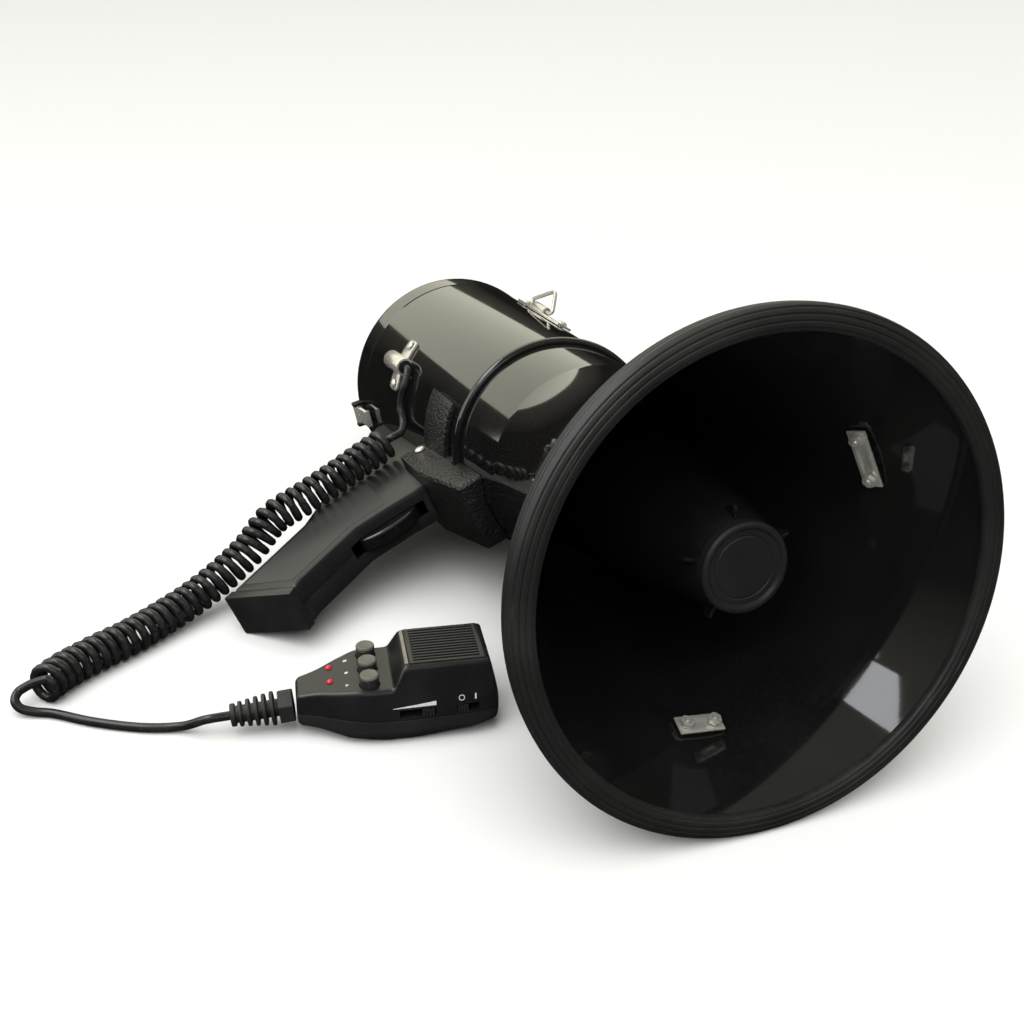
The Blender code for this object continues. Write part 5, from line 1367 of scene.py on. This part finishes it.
@dataclass
class Hardware:
    """Bolts, screws and strap loops."""

    bolt_radius: float = 0.0016
    head_radius: float = 0.0032
    head_height: float = 0.0016
    recess_reach: float = 0.0016
    recess_half: float = 0.00032
    recess_depth: float = 0.0007
    nut_radius: float = 0.0034
    nut_height: float = 0.0024
    nut_turn: float = 0.35
    thread_end: float = 0.0010
    thread_depth: float = 0.00018
    threads: int = 14
    screw_length: float = 0.0035
    sheet: float = 0.0014
    wire: float = 0.0012
    bell_wall: float = 0.0022
    front_strip: Strip = Strip(0.0505, 0.0, 0.0208, 0.0296)
    hook_strip: Strip = Strip(0.0475, -119.0, 0.0140, 0.0225)
    rear_strip: Pair = (0.327, 35.0)
    rear_screw_reach: float = 0.030
    clamp_pitch: float = 0.0245
    bracket_screw: Place = (0.020, 0.2740, -0.0035)
    front_loop_size: Pair = (0.0140, 0.0180)
    front_loop_lean: float = -35.0
    front_loop: tuple[Pair, ...] = (
        (-0.92, 0.0), (0.92, 0.0), (1.0, 0.08), (1.0, 0.35), (0.86, 0.70), (0.50, 0.94), (0.0, 1.0),
        (-0.50, 0.94), (-0.86, 0.70), (-1.0, 0.35), (-1.0, 0.08))
    rear_loop_size: Pair = (0.0172, 0.0130)
    rear_loop_set_back: float = 0.008
    rear_loop: tuple[Pair, ...] = (
        (-0.90, 0.0), (0.90, 0.0), (1.0, 0.10), (0.98, 0.24), (-0.129, 0.90), (-0.349, 1.0),
        (-0.519, 0.90), (-0.98, 0.24), (-1.0, 0.10))

    def build(self) -> None:
        """Make the hardware."""
        self.bolts("strap_bolt", self.front_strip)
        self.bolts("hook_bolt", self.hook_strip)
        self.screws()
        self.loops()

    def head(self) -> list[Pair]:
        """Section of a domed head that stands on 0, from its top to its rim."""
        return dome(GAP, self.head_height, self.head_radius) + [(GAP, self.head_radius)]

    def crossed(self, name: str, mesh: bpy.types.Mesh) -> bpy.types.Mesh:
        """Cut a cross recess into a head.

        Args:
            name: the new mesh's name.
            mesh: a screw along +Y.

        Returns:
            The mesh, along +Y.
        """
        top = GAP + self.head_height
        low, high = top - self.recess_depth, top + 0.0002
        arms = [block((-x, low, -z), (x, high, z)) for x, z in ((self.recess_reach, self.recess_half),
                                                                (self.recess_half, self.recess_reach))]
        return carved(name, mesh, arms)

    def bolts(self, name: str, strip: Strip) -> None:
        """Make a pair of bolts with hexagonal nuts inside the bell.

        Args:
            name: what they are called.
            strip: the strip that they hold.
        """
        seat = LINE.wall(LINE.bell, strip.station, strip.angle)
        top = BENT_GAP + self.sheet
        radius = LINE.bell(strip.station)
        bend = radius - math.sqrt(radius ** 2 - (strip.length / 2) ** 2)
        nut = -self.bell_wall - bend - BENT_GAP - self.sheet - GAP
        end = nut - self.nut_height - self.thread_end
        shank = [(y + top, r) for y, r in self.head()] + [(top + GAP, self.bolt_radius)]
        for i in range(self.threads):
            place = nut + (end - nut) * i / self.threads
            shank.append((place, self.bolt_radius - (self.thread_depth if i % 2 else 0.0)))
        shank += [(end, self.bolt_radius - 0.0004), (end, 0.0)]
        body = self.crossed(f"{name}_body", lathe(f"{name}_body", shank, 32))
        nut_form = plate("hexagon", eased(hexagon(self.nut_radius), 0.0003, 2), self.nut_height, 0.0003)
        for i, side in enumerate((-1, 1), start=1):
            spot = MEGAPHONE @ seat @ moved(x=side * strip.bolt_pitch / 2)
            under = moved(z=nut - self.nut_height / 2) @ Matrix.Rotation(self.nut_turn * side, 4, "Z")
            mesh = merged(f"{name}_{i}_with_nut", [(body, UPRIGHT), (nut_form, under)])
            show(f"{name}_{i}_with_nut", mesh, NICKEL_PLATE, Body.MEGAPHONE, spot, [f"{name}_{i}"])

    def screws(self) -> None:
        """Make the screws of the rear strap, the clamp and the bracket."""
        on_sheet = moved(z=GAP + self.sheet)
        strip = LINE.wall(LINE.barrel, *self.rear_strip) @ on_sheet
        spots = {f"anchor_screw_{i}": strip @ moved(y=side * self.rear_screw_reach)
                 for i, side in ((1, -1), (2, 1))}
        x, y, z = self.bracket_screw
        for i, side in ((1, -1), (2, 1)):
            turn = math.degrees(side * self.clamp_pitch / 2 / LINE.barrel(LINE.clamp_station))
            clamp = LINE.wall(LINE.barrel, LINE.clamp_station, LINE.clamp_angle + turn)
            spots[f"clamp_screw_{i}"] = clamp @ on_sheet
            sideways = Matrix.Rotation(side * math.pi / 2, 4, "Y")
            spots[f"bracket_screw_{i}"] = moved(side * x, y, z - LINE.datum()) @ sideways
        section = self.head() + [(GAP, self.bolt_radius), (-self.screw_length, self.bolt_radius),
                                 (-self.screw_length, 0.0)]
        screw = self.crossed("cross_screw", lathe("cross_screw", section, 32))
        for name, spot in spots.items():
            show(f"{name}_domed", merged(f"{name}_domed", [(screw, UPRIGHT)]), NICKEL_PLATE, Body.MEGAPHONE,
                 MEGAPHONE @ spot, [name])

    def outline(self, shape: Sequence[Pair], size: Pair, rounding: float) -> list[Pair]:
        """A loop's line from its shape and size, with eased corners."""
        return eased([(x * size[0], z * size[1]) for x, z in shape], rounding, 4)

    def loops(self) -> None:
        """Make both strap loops."""
        points = [Vector((x, 0.0, z)) for x, z in self.outline(self.front_loop, self.front_loop_size, 0.0022)]
        hinge = BENT_GAP + self.sheet + GAP + self.head_height + RUNNING_GAP + self.wire
        seat = LINE.wall(LINE.bell, self.front_strip.station, self.front_strip.angle) @ moved(z=hinge)
        seat = MEGAPHONE @ seat @ Matrix.Rotation(math.radians(self.front_loop_lean), 4, "X")
        show("front_wire_loop", wire("front_wire_loop", points, self.wire, 4, closed=True), NICKEL_PLATE,
             Body.FRONT_LOOP, seat, ["front_strap_loop"])
        points = [Vector((0.0, y, z)) for y, z in self.outline(self.rear_loop, self.rear_loop_size, 0.0018)]
        hinge = GAP + self.sheet + RUNNING_GAP + self.wire
        seat = MEGAPHONE @ LINE.wall(LINE.barrel, *self.rear_strip) @ moved(y=self.rear_loop_set_back, z=hinge)
        show("rear_wire_loop", wire("rear_wire_loop", points, self.wire, 4, closed=True), NICKEL_PLATE,
             Body.REAR_LOOP, seat, ["rear_strap_loop"])


@dataclass
class Grip:
    """The trigger and the side panels of the grip."""

    half: float = 0.012
    margin: float = 0.0048
    panel: float = 0.0005
    trigger_spot: Pair = (0.2590, 0.0267)
    trigger_half: float = 0.0040
    corners: tuple[Pair, ...] = (
        (0.345, 0.0325), (0.318, 0.053), (0.284, 0.081), (0.2516, 0.1330), (0.2147, 0.1020), (0.220, 0.099),
        (0.243, 0.059), (0.2462, 0.0330))
    trigger_edge: tuple[Pair, ...] = (
        (-0.0030, -0.0048), (0.0028, -0.0046), (0.0053, 0.0), (0.0030, 0.0046), (-0.0040, 0.0072),
        (-0.0080, 0.0140), (-0.0100, 0.0240), (-0.0115, 0.0330), (-0.0160, 0.0345), (-0.0195, 0.0310),
        (-0.0214, 0.0220), (-0.0212, 0.0120), (-0.0185, 0.0028), (-0.0120, -0.0035))

    def build(self) -> None:
        """Make the trigger and the panels."""
        station, drop = self.trigger_spot
        spot = MEGAPHONE @ moved(y=station, z=-LINE.datum() - drop)
        blade = plate("curved_trigger", eased(self.trigger_edge, 0.0030, 4), 2 * self.trigger_half, 0.0016)
        show("curved_trigger", blade, GLOSS_PAINT, Body.TRIGGER, spot @ SIDE_VIEW, ["trigger"])
        outline = eased(inset([(s, LINE.datum() + d) for s, d in self.corners], self.margin), 0.0022, 5)
        for name, side in (("left", 1), ("right", -1)):
            mesh = plate(f"grip_panel_{name}", outline, self.panel, 0.0002)
            spot = MEGAPHONE @ moved(x=side * self.half) @ SIDE_VIEW
            show(f"grip_panel_{name}", mesh, PANEL_PLASTIC, Body.MEGAPHONE, spot)


# ======================================================================================
# Microphone
# ======================================================================================


@dataclass
class Microphone:
    """The hand microphone.

    Places in the plan, roof and keel, and those of the slots, keys and lamps, are shares of its length.
    """

    length: float = 0.096
    split: float = 0.014
    face: float = 0.030
    top: float = 0.0405
    shoulder: float = 0.0215
    widest: float = 0.0228
    narrow: float = 0.0052
    rounding: float = 0.0022
    plan: tuple[Pair, ...] = ((0.0, 0.0092), (0.10, 0.0118), (0.21, 0.0170), (0.33, 0.0212), (0.47, 0.0225),
                              (0.68, 0.0222), (0.88, 0.0212), (0.97, 0.0190), (1.0, 0.0155))
    roof: tuple[Pair, ...] = ((0.0, 0.024), (0.30, 0.030), (0.475, 0.030), (0.535, 0.0405), (0.955, 0.0405),
                              (1.0, 0.020))
    keel: tuple[Pair, ...] = ((0.0, 0.0075), (0.20, 0.00465), (0.40, 0.0), (0.60, 0.0), (0.85, 0.00375),
                              (1.0, 0.0075))
    cut_past: float = 0.003
    window_margin: float = 0.0020
    window_half: float = 0.016
    window_floor: float = 0.0374
    strip_half: Pair = (0.0008, 0.0150)
    strip_thickness: float = 0.0006
    volume_slot: Pair = (0.585, 0.0170)
    power_slot: Pair = (0.835, 0.0110)
    slot_heights: Pair = (0.0154, 0.0196)
    slot_depth: float = 0.0072
    volume_knob: float = 0.0060
    power_knob: float = 0.0055
    knob_height: float = 0.0034
    knob_depth: float = 0.0070
    knob_ribs: int = 4
    talk_place: float = 0.6
    talk_half: float = 0.0174
    talk_heights: Pair = (0.01402, 0.02155)
    talk_depth: float = 0.0108
    key_place: float = 0.362
    key_pitch: float = 0.0132
    key_radius: float = 0.0045
    key_proud: float = 0.0060
    key_edge: float = 0.0003
    key_dish: float = 0.0004
    stem_depth: float = 0.0075
    stem_top: float = 0.0043
    well_depth: float = 0.0098
    well_radius: float = 0.0050
    lamp_place: float = 0.172
    lamp_across: Pair = (0.0085, -0.0040)
    lamp_radius: float = 0.0017
    lamp_proud: float = 0.0014
    lamp_depth: float = 0.006
    print_lift: float = 0.00008
    wedge_run: Pair = (0.0445, 0.0650)
    wedge_foot: float = 0.0208
    wedge_rise: Pair = (0.0002, 0.0022)
    mark_height: float = 0.0230
    on_mark: float = 0.0839
    on_mark_half: Pair = (0.0004, 0.0015)
    off_mark: float = 0.0772
    off_mark_radii: Pair = (0.0011, 0.0015)
    key_mark_place: float = 0.0245
    key_mark_pitch: float = 0.82
    key_mark_half: float = 0.0009
    arrow_half: float = 0.0010
    relief_start: float = 0.0013
    relief_length: float = 0.0300
    relief_height: float = 0.0142
    relief_droop: float = 5.0
    relief_nut: float = 0.0070
    relief_nut_radius: float = 0.0088
    relief_core: float = 0.0042
    relief_radii: Pair = (0.0056, 0.0082)
    relief_rings: int = 5

    def profile(self, corners: Sequence[Pair], cut: float) -> list[Pair]:
        """A profile along the microphone with its corners eased, in metres."""
        return eased([(place * self.length, value) for place, value in corners], cut, 8, closed=False)

    def read(self, profile: Sequence[Pair], place: float) -> float:
        """Read a profile.

        Args:
            profile: (place, value) pairs in order.
            place: where it is read.

        Returns:
            The value there.
        """
        for (a, start), (b, end) in zip(profile, profile[1:]):
            if place <= b:
                return start + (end - start) * (place - a) / max(b - a, 1e-9)
        return profile[-1][1]

    def stations(self) -> list[float]:
        """Lay out the rings, close together where the form turns.

        Returns:
            Their places along the microphone.
        """
        near = [0.0, 0.0001, 0.0003, 0.0006, 0.0010, 0.0015, 0.0022]
        step = 0.0007
        count = int((self.length - 2 * near[-1]) / step)
        return near + [near[-1] + step * i for i in range(1, count)] + [self.length - x for x in reversed(near)]

    def ring(self, corners: Sequence[Pair], cuts: Sequence[float], x: float, base: float) -> list[Place]:
        """One ring of a shell.

        Args:
            corners: the cross-section's corners, as (across, height).
            cuts: how far each is cut back.
            x: the ring's place along the microphone.
            base: the height of the shells' joint, which stays level.

        Returns:
            The ring's points.
        """
        edge = min(x, self.length - x)
        short = max(0.0, self.rounding - edge)
        drop = self.rounding - math.sqrt(max(0.0, self.rounding ** 2 - short ** 2))
        wide = max(abs(y) for y, _ in corners)
        tall = max(abs(z - base) for _, z in corners)
        scale_y, scale_z = 1.0 - drop / wide, 1.0 - drop / tall
        return [(x, y * scale_y, base + (z - base) * scale_z) for y, z in eased(corners, cuts, 6)]

    def shells(self) -> tuple[bpy.types.Mesh, bpy.types.Mesh]:
        """Form both shells.

        Returns:
            The solid forms of the front and the back shell.
        """
        route = [Vector((a * self.length, w, 0.0)) for a, w in self.plan]
        plan = [(p.x, p.y) for p in smooth_path(route, 0.001)]
        roof, keel = self.profile(self.roof, 0.0020), self.profile(self.keel, 0.006)
        upper, lower = [], []
        for x in self.stations():
            wide = self.read(plan, x)
            high = self.read(roof, x)
            slope = self.widest - self.narrow * (high - self.shoulder) / (self.top - self.shoulder)
            brow = min(wide - 0.0006, slope)
            bend = min(self.shoulder, high - 0.0030)
            base = self.split + GAP / 2
            corners = [(wide, base), (wide, bend), (brow, high), (-brow, high), (-wide, bend), (-wide, base)]
            upper.append(self.ring(corners, (0.0003, 0.0030, 0.0026, 0.0026, 0.0030, 0.0003), x, base))
            low = self.read(keel, x)
            foot = min(wide - 0.0012, self.widest - self.narrow)
            knee = max(0.0063, low + 0.0025)
            base = self.split - GAP / 2
            corners = [(wide, base), (-wide, base), (-wide, knee), (-foot, low), (foot, low), (wide, knee)]
            lower.append(self.ring(corners, (0.0003, 0.0003, 0.0028, 0.0028, 0.0028, 0.0028), x, base))
        return loft("front", upper), loft("back", lower)

    def openings(self, start: float, end: float) -> list[bpy.types.Mesh]:
        """Shape what is cut out of the front shell.

        Args:
            start: where the grille's window starts.
            end: where it ends.

        Returns:
            The grille's window, both sliders' slots, the talk bar's slot and the keys' wells.
        """
        high = self.top + self.cut_past / 2
        cutters = [block((start, -self.window_half, self.window_floor), (end, self.window_half, high))]
        low, high = self.slot_heights
        for place, slot in (self.volume_slot, self.power_slot):
            along, wide = place * self.length, self.read(self.plan, place)
            cutters.append(block((along - slot / 2, -wide - self.cut_past, low),
                                 (along + slot / 2, -wide + self.slot_depth, high)))
        low, high = self.talk_heights
        along, wide = self.talk_place * self.length, self.read(self.plan, self.talk_place)
        cutters.append(block((along - self.talk_half, wide - self.talk_depth, low),
                             (along + self.talk_half, wide + self.cut_past, high)))
        well = [(-self.well_depth, 0.0), (-self.well_depth, self.well_radius),
                (self.cut_past, self.well_radius), (self.cut_past, 0.0)]
        for across in (-self.key_pitch, 0.0, self.key_pitch):
            spot = moved(self.key_place * self.length, across, self.face) @ UPRIGHT
            cutters.append(merged("well", [(lathe("well", well, 40), spot)]))
        return cutters

    def build(self) -> None:
        """Make the microphone's pieces."""
        front, back = self.shells()
        points, faces = [v.co.copy() for v in front.vertices], [tuple(p.vertices) for p in front.polygons]
        skin = BVHTree.FromPolygons(points, faces)
        start = self.roof[3][0] * self.length + self.window_margin
        end = self.roof[4][0] * self.length - self.window_margin
        shell = carved("mic_face_shell", front, self.openings(start, end))
        show("mic_face_shell", shell, MIC_PLASTIC, Body.MEGAPHONE, MICROPHONE, ["mic_front_shell"])
        show("mic_rear_shell", back, MIC_BACK_PLASTIC, Body.MEGAPHONE, MICROPHONE, ["mic_back_shell"])
        self.keys()
        self.lamps()
        self.slider("volume", Body.VOLUME, self.volume_slot, self.volume_knob, 1)
        self.slider("power", Body.POWER, self.power_slot, self.power_knob, -1)
        self.prints(skin)
        x, y = self.strip_half
        outline = eased([(-x, -y), (x, -y), (x, y), (-x, y)], 0.0004)
        strip = plate("felt_strip", outline, self.strip_thickness, 0.0002)
        show("felt_strip", strip, FELT_STRIP, Body.MEGAPHONE,
             MICROPHONE @ moved(start - self.window_margin / 2, 0.0, self.top + 0.0001))
        self.relief()

    def keys(self) -> None:
        """Make the three keys, each a stem with a dished cap."""
        top, radius, edge = self.key_proud, self.key_radius, self.key_edge
        stem = [(-self.stem_depth, 0.0), (-self.stem_depth, radius), (self.stem_top - edge, radius),
                (self.stem_top, radius - edge), (self.stem_top, 0.0)]
        foot = self.stem_top + 0.0001
        cap = [(foot, 0.0), (foot, radius - edge), (foot + edge, radius), (top - 0.0007, radius),
               (top - 0.0002, radius - edge), (top, radius - 0.0008), (top - edge, radius * 0.55),
               (top - self.key_dish, 0.0)]
        for i, body in enumerate((Body.KEY_1, Body.KEY_2, Body.KEY_3), start=1):
            across = (i - 2) * self.key_pitch
            spot = MICROPHONE @ moved(self.key_place * self.length, across, self.face) @ UPRIGHT
            show(f"key_stem_{i}", lathe(f"key_stem_{i}", stem, SMALL_STEPS), KNOB_PLASTIC, body, spot)
            show(f"key_cap_{i}", lathe(f"key_cap_{i}", cap, SMALL_STEPS), KEY_PLASTIC, body, spot,
                 [f"mic_button_{i}"])

    def lamps(self) -> None:
        """Make the two lamps."""
        height = self.read(self.roof, self.lamp_place)
        lens = dome(0.0, self.lamp_proud, self.lamp_radius)
        lens += [(-self.lamp_depth, self.lamp_radius), (-self.lamp_depth, 0.0)]
        for i, across in enumerate(self.lamp_across, start=1):
            spot = MICROPHONE @ moved(self.lamp_place * self.length, across, height) @ UPRIGHT
            show(f"lamp_{i}", lathe(f"lamp_{i}", lens, 32), LAMP_LENS, Body.MEGAPHONE, spot,
                 [f"mic_led_{i}"])

    def slider(self, name: str, body: Body, slot: Pair, knob: float, end: int) -> None:
        """Make a slider's ribbed knob.

        Args:
            name: what it sets.
            body: the body it rides on.
            slot: its slot's place and length.
            knob: the knob's length.
            end: the end of the slot that it rests at, -1 or 1.
        """
        place, length = slot
        along = place * self.length + end * ((length - knob) / 2 - RUNNING_GAP)
        rib = knob / self.knob_ribs
        outline = [(-knob / 2, self.knob_depth)]
        for i in range(self.knob_ribs):
            left = -knob / 2 + rib * i
            outline += [(left + 0.0001, -0.0006), (left + 0.0004, -0.0012), (left + rib - 0.0005, -0.0012),
                        (left + rib - 0.0002, -0.0006)]
        outline.append((knob / 2, self.knob_depth))
        mesh = plate(f"{name}_ribbed_knob", outline, self.knob_height, 0.00008)
        spot = MICROPHONE @ moved(along, -self.read(self.plan, place), sum(self.slot_heights) / 2)
        show(f"{name}_ribbed_knob", mesh, KNOB_PLASTIC, body, spot, [f"{name}_slider"])

    def printed(self, name: str, skin: BVHTree, rows: Sequence[Sequence[Place]], look: Place) -> None:
        """Print a mark on the shell.

        Args:
            name: the piece's name.
            skin: the shell's surface.
            rows: rows of points in front of the surface.
            look: the direction from them to it.
        """
        bm = bmesh.new()
        laid = []
        for row in rows:
            line = []
            for point in row:
                hit, normal, _, _ = skin.ray_cast(Vector(point), Vector(look))
                outward = -1.0 if normal.dot(Vector(look)) > 0 else 1.0
                line.append(bm.verts.new(hit + normal * outward * self.print_lift))
            laid.append(line)
        for low, high in zip(laid, laid[1:]):
            for i in range(len(low) - 1):
                bm.faces.new((low[i], low[i + 1], high[i + 1], high[i]))
        show(name, from_bmesh(name, bm), PRINT_PAINT, Body.MEGAPHONE, MICROPHONE)

    def prints(self, skin: BVHTree) -> None:
        """Print the wedge, the two switch marks and the marks of the keys.

        Args:
            skin: the shell's surface.
        """
        beside, above = -0.05, 0.06
        sideways, down = (0.0, 1.0, 0.0), (0.0, 0.0, -1.0)
        turns = [math.tau * i / 20 for i in range(21)]
        left, right = self.wedge_run
        thin, thick = self.wedge_rise
        shares = [i / 20 for i in range(21)]
        wedge = [[(left + (right - left) * t, beside, self.wedge_foot + level * (thin + (thick - thin) * t))
                  for t in shares] for level in (0.0, 0.5, 1.0)]
        self.printed("volume_wedge", skin, wedge, sideways)
        x, z = self.on_mark_half
        bar = [[(self.on_mark + x * i, beside, self.mark_height + z * j) for i in (-1, 0, 1)]
               for j in (-1, 0, 1)]
        self.printed("on_mark", skin, bar, sideways)
        ring = [[(self.off_mark + r * math.cos(t), beside, self.mark_height + r * math.sin(t)) for t in turns]
                for r in self.off_mark_radii]
        self.printed("off_mark", skin, ring, sideways)
        half, tip = self.key_mark_half, self.arrow_half
        square = [[(half * i, half * j) for i in (-1, 0, 1)] for j in (-1, 0, 1)]
        dot = [[(r * math.cos(t), r * math.sin(t)) for t in turns] for r in (0.0001, half)]
        arrow = [[(y * half / tip, x * (tip - y) / 2) for x in (-1, 1)] for y in (-tip, 0.0, tip * 0.98)]
        for i, shape in enumerate((square, dot, arrow), start=1):
            across = (2 - i) * self.key_pitch * self.key_mark_pitch
            rows = [[(self.key_mark_place + x, across + y, above) for x, y in row] for row in shape]
            self.printed(f"key_mark_{i}", skin, rows, down)

    def relief_frame(self) -> Matrix:
        """+Z runs from the end of the microphone out along the cord."""
        return moved(z=self.relief_height) @ Matrix.Rotation(math.radians(-90.0 - self.relief_droop), 4, "Y")

    def relief(self) -> None:
        """Make the strain relief: a hexagonal nut and a ringed sleeve."""
        start, nut_end = self.relief_start, self.relief_start + self.relief_nut
        tip = self.relief_start + self.relief_length
        pitch = (tip - nut_end) / (self.relief_rings + 1)
        core, (small, large) = self.relief_core, self.relief_radii
        section = [(nut_end - 0.0005, 0.0), (nut_end - 0.0005, core), (nut_end, core)]
        for i in range(self.relief_rings):
            radius = small + (large - small) * (self.relief_rings - i) / self.relief_rings
            low = nut_end + pitch * (i + 0.55)
            high = low + pitch * 0.45
            section += [(low, core), (low, radius), (high, radius), (high, core)]
        collar = tip - pitch * 0.6
        section += [(collar, core), (collar, small), (tip, small), (tip, 0.0)]
        sleeve = lathe("sleeve", eased(section, 0.00045, 3, closed=False), SMALL_STEPS)
        nut = plate("nut", eased(hexagon(self.relief_nut_radius), 0.0008, 3), self.relief_nut, 0.0005)
        mesh = merged("ringed_strain_relief", [(sleeve, UPRIGHT), (nut, moved(z=(start + nut_end) / 2))])
        show("ringed_strain_relief", mesh, RIM_RUBBER, Body.MEGAPHONE,
             MICROPHONE @ self.relief_frame(), ["mic_strain_relief"])


# ======================================================================================
# The CAD pieces that stay, and the set
# ======================================================================================


@dataclass
class Carried:
    """The CAD pieces that are shown as they are, with a finish and softened edges."""

    edge: float = 0.00022
    sharp: float = 32.0

    def build(self) -> None:
        """Dress every CAD node that no other piece stands for."""
        slots = {slot.value: slot for slot in Slot}
        for name, obj in sorted(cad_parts.items()):
            if obj.hide_render:
                continue
            slot = slots[obj.material_slots[0].material.name.split(".")[0]]
            obj.material_slots[0].material = DRESS[slot].material()
            custom = obj.data.attributes.get("custom_normal")
            if custom:
                obj.data.attributes.remove(custom)
            obj.data.shade_smooth()
            weld = obj.modifiers.new("weld", "WELD")
            weld.merge_threshold = 2e-6
            bevel = obj.modifiers.new("soft_edge", "BEVEL")
            bevel.width = self.edge
            bevel.segments = 2
            bevel.limit_method = "ANGLE"
            bevel.angle_limit = math.radians(self.sharp)
            bevel.harden_normals = False
            split = obj.modifiers.new("crease", "EDGE_SPLIT")
            split.split_angle = math.radians(self.sharp)
            split.use_edge_sharp = False
            LOG.info("dressed %s", name)


def main() -> None:
    """Build the studio, then the set, piece by piece."""
    logging.basicConfig(level=logging.INFO, format="%(name)s: %(message)s")
    Studio().build()
    CurlyCord().build()
    Horn().build()
    Barrel().build()
    Hardware().build()
    Grip().build()
    Microphone().build()
    Carried().build()


if __name__ == "__main__":
    main()
